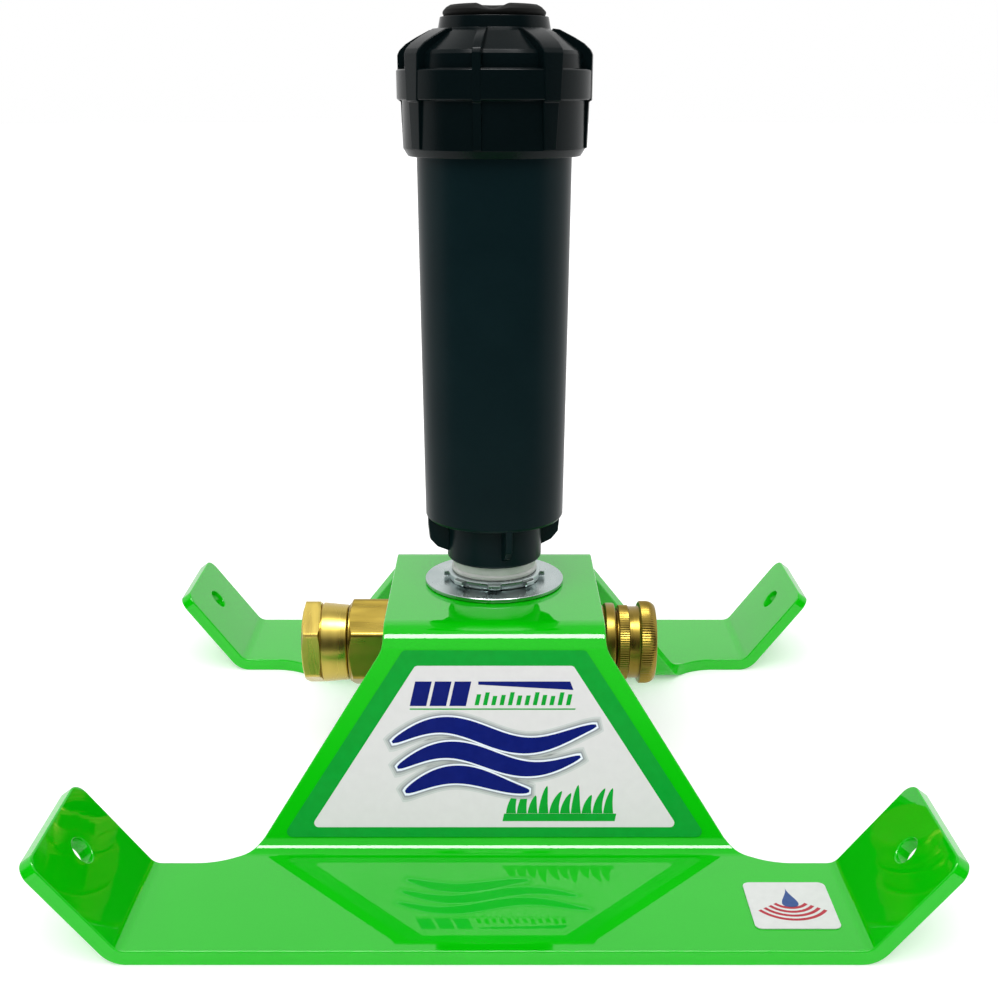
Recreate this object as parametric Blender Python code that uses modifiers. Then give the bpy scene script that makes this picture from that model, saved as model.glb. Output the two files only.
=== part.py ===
"""Pop-up gear-driven rotor sprinkler on a sled bent from one steel plate.

Metres, +Z up. The origin is on the floor under the middle of the sled. X runs along the runners,
Y across them. The rotor stands on a vertical axis a little behind the middle (ROTOR_Y), and the
hose fittings lie on a horizontal axis along X below the top plate. Heights of everything that
hangs on the top plate are measured from DATUM_Z, a little above the floor.
"""

import math

import bmesh
import bpy
from mathutils import Matrix, Vector

MM = 0.001
TAU = 2 * math.pi

# ---- driving dimensions -------------------------------------------------------------------------
DATUM_Z = 0.8 * MM
PLATE = 5.6 * MM
SLED_HEIGHT = DATUM_Z + 77.3 * MM  # top face of the sled
SLED_HALF_DEPTH = 152.4 * MM  # 12 in from front to back
LEG_FALL = math.radians(60.8)  # how far each leg bends down from the top plate
TOP_FLAT_HALF = 39.3 * MM
TOP_BEND_OUTER = 13.4 * MM
FOOT_BEND_INNER = 8.0 * MM
WAIST_HALF = 42.0 * MM  # half width of the top plate
FLARE = 0.612  # how much each leg widens per length, on each side
WING_SETBACK = 4.0 * MM  # from the foot bend to the runner's inner edge
WAIST_FILLET = 12.0 * MM
WING_FILLET = 25.0 * MM
TAB_CORNER = 5.5 * MM
TAB_BEND_START = 120.9 * MM
TAB_BEND_INNER = 5.0 * MM
TAB_RISE = math.radians(53.6)
TAB_FLAT = 39.0 * MM
TAB_HOLE = 4.75 * MM  # radius
TAB_HOLE_FROM_END = 14.5 * MM
LABEL_LIFT = 0.15 * MM
LABEL_THICKNESS = 0.35 * MM
LABEL_RUN = (0.8 * MM, 70.3 * MM)  # top and bottom edge, down the leg from the top bend
LABEL_HALF_WIDTH = (34.3 * MM, 78.4 * MM)  # at its top and bottom edge
LABEL_CORNER = 2.0 * MM
STICKER_SIZE = 29.0 * MM
STICKER_X = 102.2 * MM
STICKER_Y = -125.2 * MM
STICKER_CORNER = 2.5 * MM
TOP_BEND_STEPS = 7
FOOT_BEND_STEPS = 6
TAB_BEND_STEPS = 5

ROTOR_Y = 6.5 * MM
FITTING_Z = 50.1 * MM  # above the datum

PIPE_HOLE_R = 17.3 * MM  # in the top plate, for 1 in pipe
INLET_HEX_R = 19.3 * MM  # over the corners
NUT_RIM_R = 18.2 * MM

SPRING_MEAN_R = 22.2 * MM
SPRING_WIRE_R = 0.9 * MM
SPRING_LOW = 120.4 * MM
SPRING_HIGH = 258.2 * MM
SPRING_TURNS = 9
SPRING_FLAT_TURNS = 0.75  # closed turns at each end

LOCKNUT_LUGS = 8
CASE_GUSSETS = 4
CAP_RIBS = 4  # of each kind
RATCHET_NOTCHES = 4
FILTER_SLOTS = 12
STATOR_PORTS = 8
TURBINE_BLADES = 10
COVER_PORTS = 6
TURRET_SCALLOPS = 4

SHAFT_SPACING = 7.3 * MM  # main axle to lay axle
GEAR_MODULE = 0.45 * MM
PINION_TEETH = 8
WHEEL_TEETH = 24
WHEEL_TIP = 0.09  # half a tooth tip's share of the pitch
PINION_TIP = 0.08
WHEEL_THICKNESS = 3.0 * MM
AXLE_BORE = 0.95 * MM  # radius
ARC_SPACING = 12.1 * MM
ARC_MODULE = 0.6 * MM
ARC_PINION_TEETH = 10
ARC_RING_TEETH = 30
ARC_RING_BORE = 7.5 * MM

NOZZLE_RISE = math.radians(25)
NOZZLE_START_Z = 263.0 * MM

COARSE = 16
MEDIUM = 20
FINE = 28

# name: (linear colour, roughness, metallic)
FINISHES = {
    "green_powder_coat": ((0.010, 0.440, 0.010), 0.12, 0.0),
    "zinc_plate": ((0.62, 0.66, 0.70), 0.30, 1.0),
    "brass": ((0.60, 0.42, 0.12), 0.28, 1.0),
    "black_plastic": ((0.010, 0.013, 0.014), 0.32, 0.0),
    "black_rubber": ((0.014, 0.015, 0.015), 0.60, 0.0),
    "grey_plastic": ((0.42, 0.44, 0.42), 0.45, 0.0),
    "white_nylon": ((0.75, 0.74, 0.70), 0.45, 0.0),
    "stainless_steel": ((0.55, 0.55, 0.54), 0.25, 1.0),
    "printed_vinyl": ((0.70, 0.73, 0.70), 0.30, 0.0),
}


# ---- scene and materials ------------------------------------------------------------------------
def clear_scene():
    for obj in list(bpy.data.objects):
        bpy.data.objects.remove(obj, do_unlink=True)


def make_collection(name):
    group = bpy.data.collections.new(name)
    bpy.context.scene.collection.children.link(group)
    return group


def make_finish(name):
    colour, roughness, metallic = FINISHES[name]
    finish = bpy.data.materials.new(name)
    finish.use_nodes = True
    shader = finish.node_tree.nodes["Principled BSDF"]
    shader.inputs["Base Color"].default_value = (*colour, 1.0)
    shader.inputs["Roughness"].default_value = roughness
    shader.inputs["Metallic"].default_value = metallic
    finish.diffuse_color = (*colour, 1.0)
    return finish


clear_scene()
PARTS = make_collection("field_sprinkler")
CUTTERS = make_collection("cutters")
MATERIALS = {name: make_finish(name) for name in FINISHES}

# where pieces are placed: on the rotor's axis, or along the fittings' axis
ON_ROTOR = Matrix.Translation((0, ROTOR_Y, DATUM_Z))
ON_LAY_AXLE = ON_ROTOR @ Matrix.Translation((SHAFT_SPACING, 0, 0))
ON_ARC_SCREW = ON_ROTOR @ Matrix.Translation((ARC_SPACING, 0, 0))
ON_RADIUS_SCREW = ON_ROTOR @ Matrix.Translation((0, -14.4 * MM, 0))
# a piece turned about Z lies along +X here, so its heights become X positions
ON_FITTINGS = ON_ROTOR @ Matrix.Translation((0, 0, FITTING_Z)) @ Matrix.Rotation(TAU / 4, 4, "Y")
# heights run along the jet, up and towards the front
ALONG_NOZZLE = (
    ON_ROTOR
    @ Matrix.Translation((0, 0, NOZZLE_START_Z))
    @ Matrix.Rotation(TAU / 4 - NOZZLE_RISE, 4, "X")
)


# ---- shape helpers ------------------------------------------------------------------------------
def new_object(name, data, place, finish):
    """A part when it has a finish, and a cutter when it has none."""
    obj = bpy.data.objects.new(name, data)
    obj.matrix_world = place
    if finish:
        PARTS.objects.link(obj)
        obj.data.materials.append(MATERIALS[finish])
    else:
        CUTTERS.objects.link(obj)
        obj.display_type = "WIRE"
        obj.hide_render = True
    return obj


def smooth(obj):
    obj.data.shade_smooth()
    obj.data.set_sharp_from_angle(angle=math.radians(35))


def bake_modifiers(obj):
    """Replaces an object's mesh or curve by its evaluated mesh, with the caps welded."""
    graph = bpy.context.evaluated_depsgraph_get()
    mesh = bpy.data.meshes.new_from_object(obj.evaluated_get(graph))
    name, place = obj.name, obj.matrix_world.copy()
    groups = list(obj.users_collection)
    materials = list(obj.data.materials)
    hidden, display = obj.hide_render, obj.display_type
    bpy.data.objects.remove(obj, do_unlink=True)
    work = bmesh.new()
    work.from_mesh(mesh)
    bmesh.ops.remove_doubles(work, verts=work.verts, dist=1e-6)
    work.to_mesh(mesh)
    work.free()
    baked = bpy.data.objects.new(name, mesh)
    baked.matrix_world = place
    baked.hide_render = hidden
    baked.display_type = display
    mesh.materials.clear()
    for material in materials:
        mesh.materials.append(material)
    for group in groups:
        group.objects.link(baked)
    return baked


def signed_area(points):
    total = 0.0
    for (x0, y0), (x1, y1) in zip(points, points[1:] + points[:1]):
        total += x0 * y1 - x1 * y0
    return total / 2


def turned(name, profile, place=ON_ROTOR, finish=None, steps=MEDIUM):
    """A solid of revolution about its local Z, from (radius, height) points in millimetres.

    A profile that starts and ends on the axis is a solid body, any other is closed into a ring.
    """
    points = [(r * MM, h * MM) for r, h in profile]
    if signed_area(points) > 0:
        points.reverse()
    solid = abs(points[0][0]) < 1e-9 or abs(points[-1][0]) < 1e-9
    if solid:
        while abs(points[0][0]) > 1e-9 or abs(points[-1][0]) > 1e-9:
            points = points[1:] + points[:1]
    mesh = bpy.data.meshes.new(name)
    edges = [(i, i + 1) for i in range(len(points) - 1)]
    if not solid:
        edges.append((len(points) - 1, 0))
    mesh.from_pydata([(r, 0, h) for r, h in points], edges, [])
    obj = new_object(name, mesh, place, finish)
    screw = obj.modifiers.new("Turn", "SCREW")
    screw.steps = steps
    screw.render_steps = steps
    screw.use_merge_vertices = True
    screw.merge_threshold = 1e-6
    screw.use_smooth_shade = True
    obj = bake_modifiers(obj)
    smooth(obj)
    return obj


def prism(name, outlines, low, high, place=ON_ROTOR, finish=None):
    """A flat outline made solid from height low to height high. Later outlines are holes."""
    curve = bpy.data.curves.new(name, "CURVE")
    curve.dimensions = "2D"
    curve.fill_mode = "BOTH"
    curve.extrude = (high - low) / 2
    for outline in outlines:
        spline = curve.splines.new("POLY")
        spline.points.add(len(outline) - 1)
        for point, (x, y) in zip(spline.points, outline):
            point.co = (x, y, 0, 1)
        spline.use_cyclic_u = True
    centred = place @ Matrix.Translation((0, 0, (low + high) / 2))
    return bake_modifiers(new_object(name, curve, centred, finish))


def box(name, size, place, finish=None):
    mesh = bpy.data.meshes.new(name)
    work = bmesh.new()
    bmesh.ops.create_cube(work, size=1.0, matrix=Matrix.Diagonal((*size, 1)))
    work.to_mesh(mesh)
    work.free()
    return new_object(name, mesh, place, finish)


def combine(obj, tool, operation):
    boolean = obj.modifiers.new(operation.title(), "BOOLEAN")
    boolean.operation = operation
    boolean.object = tool
    return obj


def cut(obj, *tools):
    for tool in tools:
        combine(obj, tool, "DIFFERENCE")
    return obj


def join(obj, *tools):
    for tool in tools:
        combine(obj, tool, "UNION")
    return obj


def spun_copies(name, mesh, count, place, first=0.0, pitch=None):
    """One cutter or tool object that holds copies of a mesh, spaced round the local Z axis."""
    pitch = TAU / count if pitch is None else pitch
    work = bmesh.new()
    for index in range(count):
        start = len(work.verts)
        work.from_mesh(mesh)
        turn = Matrix.Rotation(first + index * pitch, 3, "Z")
        bmesh.ops.transform(work, matrix=turn.to_4x4(), verts=list(work.verts)[start:])
    result = bpy.data.meshes.new(name)
    work.to_mesh(result)
    work.free()
    return new_object(name, result, place, None)


def arc(centre, radius, start, end, steps):
    cx, cy = centre
    angles = [start + (end - start) * i / steps for i in range(steps + 1)]
    return [(cx + radius * math.cos(a), cy + radius * math.sin(a)) for a in angles]


def circle(centre, radius, steps=COARSE):
    return arc(centre, radius, 0, TAU, steps)[:-1]


def rounded(corners, steps=5):
    """A closed outline from (x, y, radius) corners, each rounded to its radius."""
    outline = []
    count = len(corners)
    for index, (x, y, radius) in enumerate(corners):
        here = Vector((x, y))
        before = (Vector(corners[index - 1][:2]) - here).normalized()
        after = (Vector(corners[(index + 1) % count][:2]) - here).normalized()
        half = before.angle(after) / 2
        centre = here + (before + after).normalized() * radius / math.sin(half)
        reach = radius / math.tan(half)
        first = here + before * reach - centre
        turn = first.angle_signed(here + after * reach - centre)
        for step in range(steps + 1):
            spoke = first.copy()
            spoke.rotate(Matrix.Rotation(-turn * step / steps, 2))
            outline.append(tuple(centre + spoke))
    return outline


def gear_outline(teeth, module, phase, tip_share, root_share=0.24):
    """Straight-flanked teeth with backlash. Phase is the angle of the first tooth's middle."""
    pitch = TAU / teeth
    root = module * (teeth / 2 - 1.1)
    tip = module * (teeth / 2 + 0.75)
    outline = []
    for index in range(teeth):
        middle = phase + index * pitch
        for radius, share in (
            (root, -root_share),
            (tip, -tip_share),
            (tip, tip_share),
            (root, root_share),
        ):
            angle = middle + share * pitch
            outline.append((radius * math.cos(angle), radius * math.sin(angle)))
    return outline


def hexagon(radius):
    """Corners up and down once the piece lies along the fittings' axis."""
    return [
        (radius * math.cos(i * TAU / 6), radius * math.sin(i * TAU / 6)) for i in range(6)
    ]


# ---- sled ---------------------------------------------------------------------------------------
class SledFold:
    """Maps the flat blank (x, s, t) to the bent plate. t is the height over the middle surface."""

    def __init__(self):
        half = PLATE / 2
        self.top_radius = TOP_BEND_OUTER - half
        self.foot_radius = FOOT_BEND_INNER + half
        self.tab_radius = TAB_BEND_INNER + half
        self.top_middle = SLED_HEIGHT - half
        sin, cos = math.sin(LEG_FALL), math.cos(LEG_FALL)
        self.top_start = TOP_FLAT_HALF
        self.top_end = self.top_start + self.top_radius * LEG_FALL
        self.leg_y = TOP_FLAT_HALF + self.top_radius * sin
        self.leg_z = self.top_middle - self.top_radius * (1 - cos)
        foot_z = half + self.foot_radius * (1 - cos)
        leg_length = (self.leg_z - foot_z) / sin
        self.foot_start = self.top_end + leg_length
        self.foot_end = self.foot_start + self.foot_radius * LEG_FALL
        self.foot_y = self.leg_y + leg_length * cos + self.foot_radius * sin
        self.edge = self.foot_end + SLED_HALF_DEPTH - self.foot_y
        self.tab_start = TAB_BEND_START
        self.tab_end = self.tab_start + self.tab_radius * TAB_RISE
        self.tip = self.tab_end + TAB_FLAT

    def across(self, s, t):
        """Y and Z of a point at arc length s from the middle of the top plate."""
        half = PLATE / 2
        if s <= self.top_start:
            return s, self.top_middle + t
        if s <= self.top_end:
            angle = (s - self.top_start) / self.top_radius
            reach = self.top_radius + t
            low = self.top_middle - self.top_radius
            return self.top_start + reach * math.sin(angle), low + reach * math.cos(angle)
        sin, cos = math.sin(LEG_FALL), math.cos(LEG_FALL)
        if s <= self.foot_start:
            run = s - self.top_end
            return self.leg_y + run * cos + t * sin, self.leg_z - run * sin + t * cos
        if s <= self.foot_end:
            angle = (self.foot_end - s) / self.foot_radius
            reach = self.foot_radius - t
            high = half + self.foot_radius
            return self.foot_y - reach * math.sin(angle), high - reach * math.cos(angle)
        return self.foot_y + s - self.foot_end, half + t

    def point(self, x, s, t):
        side_x, side_y = math.copysign(1, x), math.copysign(1, s)
        y, z = self.across(abs(s), t)
        x = abs(x)
        if x > self.tab_start:
            sin, cos = math.sin(TAB_RISE), math.cos(TAB_RISE)
            angle = min(x - self.tab_start, self.tab_end - self.tab_start) / self.tab_radius
            run = max(0.0, x - self.tab_end)
            reach = self.tab_radius - t
            z = PLATE / 2 + self.tab_radius - reach * math.cos(angle) + run * sin
            x = self.tab_start + reach * math.sin(angle) + run * cos
        return side_x * x, side_y * y, z

    def lines(self):
        """The fold lines as (axis, position): 0 for lines across X, 1 for lines across s."""
        zones = (
            (1, self.top_start, self.top_end, TOP_BEND_STEPS),
            (1, self.foot_start, self.foot_end, FOOT_BEND_STEPS),
            (0, self.tab_start, self.tab_end, TAB_BEND_STEPS),
        )
        for axis, start, end, steps in zones:
            for step in range(steps + 1):
                place = start + (end - start) * step / steps
                yield axis, place
                yield axis, -place


def sled_blank(fold):
    """Corners of the flat blank, the quarter with x and s above 0 repeated on all four sides."""
    wing = fold.foot_end + WING_SETBACK
    flare_end = WAIST_HALF + FLARE * (wing - fold.top_end)
    quarter = [
        (WAIST_HALF, fold.top_end, WAIST_FILLET),
        (flare_end, wing, WING_FILLET),
        (fold.tip, wing, TAB_CORNER),
        (fold.tip, fold.edge, TAB_CORNER),
    ]
    corners = list(quarter)
    corners += [(-x, s, r) for x, s, r in reversed(quarter)]
    corners += [(-x, -s, r) for x, s, r in quarter]
    corners += [(x, -s, r) for x, s, r in reversed(quarter)]
    return corners


def build_sled():
    fold = SledFold()
    hole_x = fold.tip - TAB_HOLE_FROM_END
    hole_s = (fold.foot_end + WING_SETBACK + fold.edge) / 2
    outlines = [rounded(sled_blank(fold))]
    outlines.append(circle((0, ROTOR_Y), PIPE_HOLE_R))
    for side_x in (-1, 1):
        for side_y in (-1, 1):
            outlines.append(circle((side_x * hole_x, side_y * hole_s), TAB_HOLE, 20))
    sled = prism(
        "sled_frame", outlines, -PLATE / 2, PLATE / 2, Matrix.Identity(4), "green_powder_coat"
    )
    work = bmesh.new()
    work.from_mesh(sled.data)
    for axis, place in fold.lines():
        normal = Vector((1, 0, 0)) if axis == 0 else Vector((0, 1, 0))
        geometry = list(work.verts) + list(work.edges) + list(work.faces)
        bmesh.ops.bisect_plane(
            work, geom=geometry, plane_co=normal * place, plane_no=normal, dist=1e-7
        )
    for vert in work.verts:
        vert.co = fold.point(*vert.co)
    work.to_mesh(sled.data)
    work.free()
    smooth(sled)
    return fold


def lie_on_leg(fold, run, lift):
    """Place on the front leg's outer face, run down from the top bend: X along X, Y up the leg."""
    y, z = fold.across(fold.top_end + run, PLATE / 2 + lift)
    tilt = Matrix.Rotation(LEG_FALL, 4, "X")
    return Matrix.Translation((0, -y, z)) @ tilt


def build_labels(fold):
    high_run, low_run = LABEL_RUN
    high_half, low_half = LABEL_HALF_WIDTH
    height = low_run - high_run
    corners = [
        (-low_half, 0, LABEL_CORNER),
        (low_half, 0, LABEL_CORNER),
        (high_half, height, LABEL_CORNER),
        (-high_half, height, LABEL_CORNER),
    ]
    on_leg = lie_on_leg(fold, low_run, LABEL_LIFT)
    prism("front_label", [rounded(corners, 3)], 0, LABEL_THICKNESS, on_leg, "printed_vinyl")
    half = STICKER_SIZE / 2
    corners = [(-half, -half), (half, -half), (half, half), (-half, half)]
    outline = rounded([(x, y, STICKER_CORNER) for x, y in corners], 3)
    spot = Matrix.Translation((STICKER_X, STICKER_Y, PLATE + LABEL_LIFT))
    prism("runner_sticker", [outline], 0, LABEL_THICKNESS, spot, "printed_vinyl")


# ---- pipe and hose fittings ---------------------------------------------------------------------
def build_plate_clamp():
    turned(
        "flat_washer",
        [(17.3, 77.6), (27.8, 77.6), (28.2, 77.9), (28.2, 79.0), (27.9, 79.3), (17.3, 79.3)],
        finish="zinc_plate",
        steps=FINE,
    )
    nut = turned(
        "locknut",
        [(17.05, 79.6), (18.6, 79.6), (18.9, 81.9), (18.4, 82.9), (17.05, 82.9)],
        finish="zinc_plate",
        steps=MEDIUM,
    )
    lug = box("lug", (2.4 * MM, 5.2 * MM, 2.0 * MM), Matrix.Translation((19.0 * MM, 0, 0)))
    lug.data.transform(lug.matrix_world)
    lugs_place = ON_ROTOR @ Matrix.Translation((0, 0, 81.3 * MM))
    lugs = spun_copies("lugs", lug.data, LOCKNUT_LUGS, lugs_place)
    bpy.data.objects.remove(lug)
    join(nut, lugs)
    turned(
        "pipe_nipple",
        [(13.0, 57.2), (16.7, 57.2), (16.7, 101.6), (13.0, 101.6)],
        finish="grey_plastic",
        steps=MEDIUM,
    )


def build_tee():
    """Run along X with a pipe socket at each end, and a branch up to the plate."""
    run = turned(
        "pipe_tee",
        [(0, -39.0), (18.2, -39.0), (18.6, -38.5), (18.6, -28.0), (17.2, -27.0),
         (17.2, 27.0), (18.6, 28.0), (18.6, 38.5), (18.2, 39.0), (0, 39.0)],
        ON_FITTINGS, "brass", COARSE,
    )
    branch = turned("branch", [(0, 50.2), (20.8, 50.2), (20.8, 71.3), (0, 71.3)], steps=COARSE)
    socket = turned("branch_socket", [(0, 56.8), (17.1, 56.8), (17.1, 80), (0, 80)])
    flow = turned(
        "run_bore",
        [(0, -50), (13.9, -50), (13.9, -24), (11.5, -24), (11.5, 24), (13.9, 24), (13.9, 50),
         (0, 50)],
        ON_FITTINGS, steps=COARSE,
    )
    drop = turned("branch_bore", [(0, 50), (12.2, 50), (12.2, 60), (0, 60)], steps=COARSE)
    join(run, branch)
    cut(run, socket, flow, drop)


def build_inlet():
    adapter = turned(
        "inlet_adapter",
        [(0, -24.4), (13.3, -24.4), (13.3, -39.4), (16.4, -39.4), (16.4, -59.9), (10.2, -60.0),
         (10.2, -65.2), (12.9, -65.4), (12.9, -67.0), (0, -67.0)],
        ON_FITTINGS, "brass", MEDIUM,
    )
    hexagon_body = prism("adapter_hex", [hexagon(INLET_HEX_R)], -59.3 * MM, -41.5 * MM, ON_FITTINGS)
    bore = turned("adapter_bore", [(0, -75), (8.2, -75), (8.2, -20), (0, -20)], ON_FITTINGS)
    join(adapter, hexagon_body)
    cut(adapter, bore)
    nut = turned(
        "swivel_nut",
        [(0, -60.4), (15.4, -60.4), (15.7, -60.9), (16.6, -70.9), (15.3, -71.3), (15.3, -78.6),
         (15.0, -78.9), (0, -78.9)],
        ON_FITTINGS, "brass", MEDIUM,
    )
    rim = prism("nut_rim", [hexagon(NUT_RIM_R)], -78.5 * MM, -71.5 * MM, ON_FITTINGS)
    socket = turned(
        "nut_socket",
        [(0, -90), (13.8, -90), (13.8, -64.4), (10.6, -64.2), (10.6, -58), (0, -58)],
        ON_FITTINGS,
        steps=MEDIUM,
    )
    join(nut, rim)
    cut(nut, socket)
    turned(
        "swivel_washer",
        [(8.4, -67.4), (13.3, -67.4), (13.3, -70.2), (8.4, -70.2)],
        ON_FITTINGS, "black_rubber", COARSE,
    )


def build_outlet():
    turned(
        "outlet_adapter",
        [(8.6, 24.4), (13.3, 24.4), (13.3, 39.4), (15.2, 39.6), (15.2, 45.0), (16.0, 45.6),
         (16.4, 46.4), (16.4, 49.0), (16.0, 49.8), (13.45, 50.2), (13.45, 60.9), (12.9, 61.4),
         (8.6, 61.4)],
        ON_FITTINGS, "brass", MEDIUM,
    )
    turned(
        "cap_washer",
        [(0, 61.8), (13.2, 61.8), (13.2, 63.6), (0, 63.6)],
        ON_FITTINGS, "black_rubber", COARSE,
    )
    turned(
        "hose_cap",
        [(13.8, 51.2), (15.2, 51.2), (15.5, 51.6), (15.5, 55.5), (15.0, 55.9), (15.0, 59.7),
         (16.9, 59.9), (17.2, 60.2), (17.2, 66.2), (16.8, 66.6), (0, 66.6), (0, 64.0),
         (13.8, 64.0)],
        ON_FITTINGS, "brass", FINE,
    )


# ---- rotor case and cap -------------------------------------------------------------------------
def radial_rib(name, profile, half_width, tip_half_width=None):
    """A rib in the plane through the axis, from (radius, height) points in mm, along +X."""
    tip_half_width = half_width if tip_half_width is None else tip_half_width
    standing = Matrix.Rotation(TAU / 4, 4, "X")
    outline = [(r * MM, h * MM) for r, h in profile]
    rib = prism(name, [outline], -half_width, half_width, standing)
    rib.data.transform(rib.matrix_world)
    rib.matrix_world = Matrix.Identity(4)
    top = max(v.co.z for v in rib.data.vertices)
    bottom = min(v.co.z for v in rib.data.vertices)
    for vert in rib.data.vertices:
        share = (vert.co.z - bottom) / (top - bottom)
        width = half_width + (tip_half_width - half_width) * share
        vert.co.y *= width / half_width
    return rib


def ring_of_ribs(name, rib, count, first):
    ribs = spun_copies(name, rib.data, count, ON_ROTOR, first)
    bpy.data.objects.remove(rib)
    return ribs


def build_case():
    case = turned(
        "rotor_case",
        [(25.6, 262.0), (29.6, 262.0), (30.2, 261.4), (30.2, 246.0), (28.1, 243.6), (28.1, 238.3),
         (27.9, 189.0), (27.4, 106.7), (26.6, 105.6), (19.0, 104.6), (19.0, 89.5), (18.5, 88.5),
         (17.0, 88.5), (17.0, 102.0), (12.5, 102.0), (12.5, 108.6), (25.2, 108.6)],
        finish="black_plastic",
        steps=FINE,
    )
    gusset = radial_rib(
        "gusset",
        [(18.2, 91.5), (23.6, 93.9), (26.4, 97.1), (27.0, 103.0), (27.1, 107.6), (18.2, 107.6)],
        1.25 * MM,
    )
    join(case, ring_of_ribs("gussets", gusset, CASE_GUSSETS, math.radians(12.5) - TAU / 4))


def build_cap():
    cap = turned(
        "rotor_cap",
        [(18.4, 284.6), (19.0, 284.6), (19.4, 282.7), (19.8, 280.7), (22.9, 279.4), (30.8, 273.8),
         (31.5, 272.6), (31.8, 268.0), (34.3, 268.0), (34.76, 267.5), (34.76, 258.6), (34.4, 258.2),
         (32.9, 258.2), (32.9, 242.3), (31.2, 239.7), (30.6, 239.7), (30.6, 264.8), (26.5, 264.8),
         (26.5, 268.0), (21.5, 277.6), (18.4, 278.6)],
        finish="black_plastic",
        steps=FINE,
    )
    outer = [
        (20.6, 278.9), (20.6, 280.9), (23.1, 280.6), (28.2, 278.2), (31.8, 276.2), (34.1, 274.2),
        (34.9, 272.7), (34.95, 258.0), (34.0, 257.6), (33.6, 242.4), (31.2, 242.4), (31.2, 268.0),
    ]
    slim = radial_rib("slim_rib", outer, 1.5 * MM)
    wide = radial_rib("wide_rib", outer, 2.6 * MM, 4.6 * MM)
    first = math.radians(-10) - TAU / 4
    join(cap, ring_of_ribs("slim_ribs", slim, CAP_RIBS, first))
    join(cap, ring_of_ribs("wide_ribs", wide, CAP_RIBS, first + TAU / CAP_RIBS / 2))


def build_seal():
    turned(
        "riser_seal",
        [(18.0, 264.4), (30.0, 264.4), (30.0, 262.4), (20.4, 262.4), (20.4, 261.0), (18.0, 261.0)],
        finish="black_rubber",
    )
    turned(
        "seal_retainer",
        [(18.2, 260.6), (25.1, 260.6), (25.1, 258.6), (18.2, 258.6)],
        finish="grey_plastic",
    )


def build_spring():
    """Closed and flat at both ends, evenly wound between them."""
    per_turn = 10
    total = SPRING_TURNS + 2 * SPRING_FLAT_TURNS
    length = SPRING_HIGH - SPRING_LOW - 2 * SPRING_WIRE_R
    flat_rise = 2 * SPRING_WIRE_R * SPRING_FLAT_TURNS + 0.25 * MM
    count = int(total * per_turn)
    points = []
    for index in range(count + 1):
        turn = index / per_turn
        if turn < SPRING_FLAT_TURNS:
            rise = flat_rise * turn / SPRING_FLAT_TURNS
        elif turn > total - SPRING_FLAT_TURNS:
            rise = length - flat_rise * (total - turn) / SPRING_FLAT_TURNS
        else:
            middle = (turn - SPRING_FLAT_TURNS) / SPRING_TURNS
            rise = flat_rise + (length - 2 * flat_rise) * middle
        angle = TAU * turn
        points.append(
            (
                SPRING_MEAN_R * math.cos(angle),
                SPRING_MEAN_R * math.sin(angle),
                SPRING_LOW + SPRING_WIRE_R + rise,
            )
        )
    curve = bpy.data.curves.new("retraction_spring", "CURVE")
    curve.dimensions = "3D"
    curve.bevel_depth = SPRING_WIRE_R
    curve.bevel_resolution = 0
    curve.use_fill_caps = True
    spline = curve.splines.new("POLY")
    spline.points.add(len(points) - 1)
    for target, point in zip(spline.points, points):
        target.co = (*point, 1)
    new_object("retraction_spring", curve, ON_ROTOR, "stainless_steel")


# ---- riser and what it carries ------------------------------------------------------------------
def build_riser():
    turned(
        "riser",
        [(12.4, 249.0), (17.2, 249.0), (17.5, 248.6), (17.5, 116.3), (24.8, 116.3), (24.8, 112.4),
         (24.2, 111.8), (16.1, 111.8), (16.1, 241.0), (12.4, 241.0)],
        finish="black_plastic",
        steps=FINE,
    )
    ring = turned(
        "ratchet_ring",
        [(18.0, 119.9), (25.0, 119.9), (25.0, 116.7), (18.0, 116.7)],
        finish="grey_plastic",
    )
    notch = box("notch", (3 * MM, 3 * MM, 6 * MM), Matrix.Translation((25 * MM, 0, 118.3 * MM)))
    notch.data.transform(notch.matrix_world)
    notches = spun_copies("notches", notch.data, RATCHET_NOTCHES, ON_ROTOR)
    bpy.data.objects.remove(notch)
    cut(ring, notches)
    turned(
        "shaft_bushing",
        [(7.4, 249.0), (12.0, 249.0), (12.0, 240.6), (14.8, 240.6), (14.8, 238.6), (7.4, 238.6)],
        finish="white_nylon",
        steps=COARSE,
    )
    turned(
        "shaft_o_ring",
        circle((8.5, 237.1), 1.1, 8),
        finish="black_rubber",
        steps=COARSE,
    )
    turned(
        "thrust_washer",
        [(8.0, 250.3), (15.4, 250.3), (15.4, 249.4), (8.0, 249.4)],
        finish="white_nylon",
        steps=COARSE,
    )


def build_filter():
    screen = turned(
        "filter_screen",
        [(12.0, 134.0), (15.7, 134.0), (15.7, 132.4), (12.9, 132.4), (12.9, 113.0), (0, 113.0),
         (0, 114.2), (12.0, 114.2)],
        finish="white_nylon",
        steps=COARSE,
    )
    slot_place = Matrix.Translation((12.5 * MM, 0, 123.5 * MM))
    slot = box("slot", (4 * MM, 3.2 * MM, 13.5 * MM), slot_place)
    slot.data.transform(slot.matrix_world)
    slots = spun_copies("slots", slot.data, FILTER_SLOTS, ON_ROTOR)
    bpy.data.objects.remove(slot)
    cut(screen, slots)
    turned(
        "check_seal",
        [(0, 112.6), (14.6, 112.6), (15.0, 111.4), (14.2, 109.0), (0, 109.0)],
        finish="black_rubber",
        steps=COARSE,
    )


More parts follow.
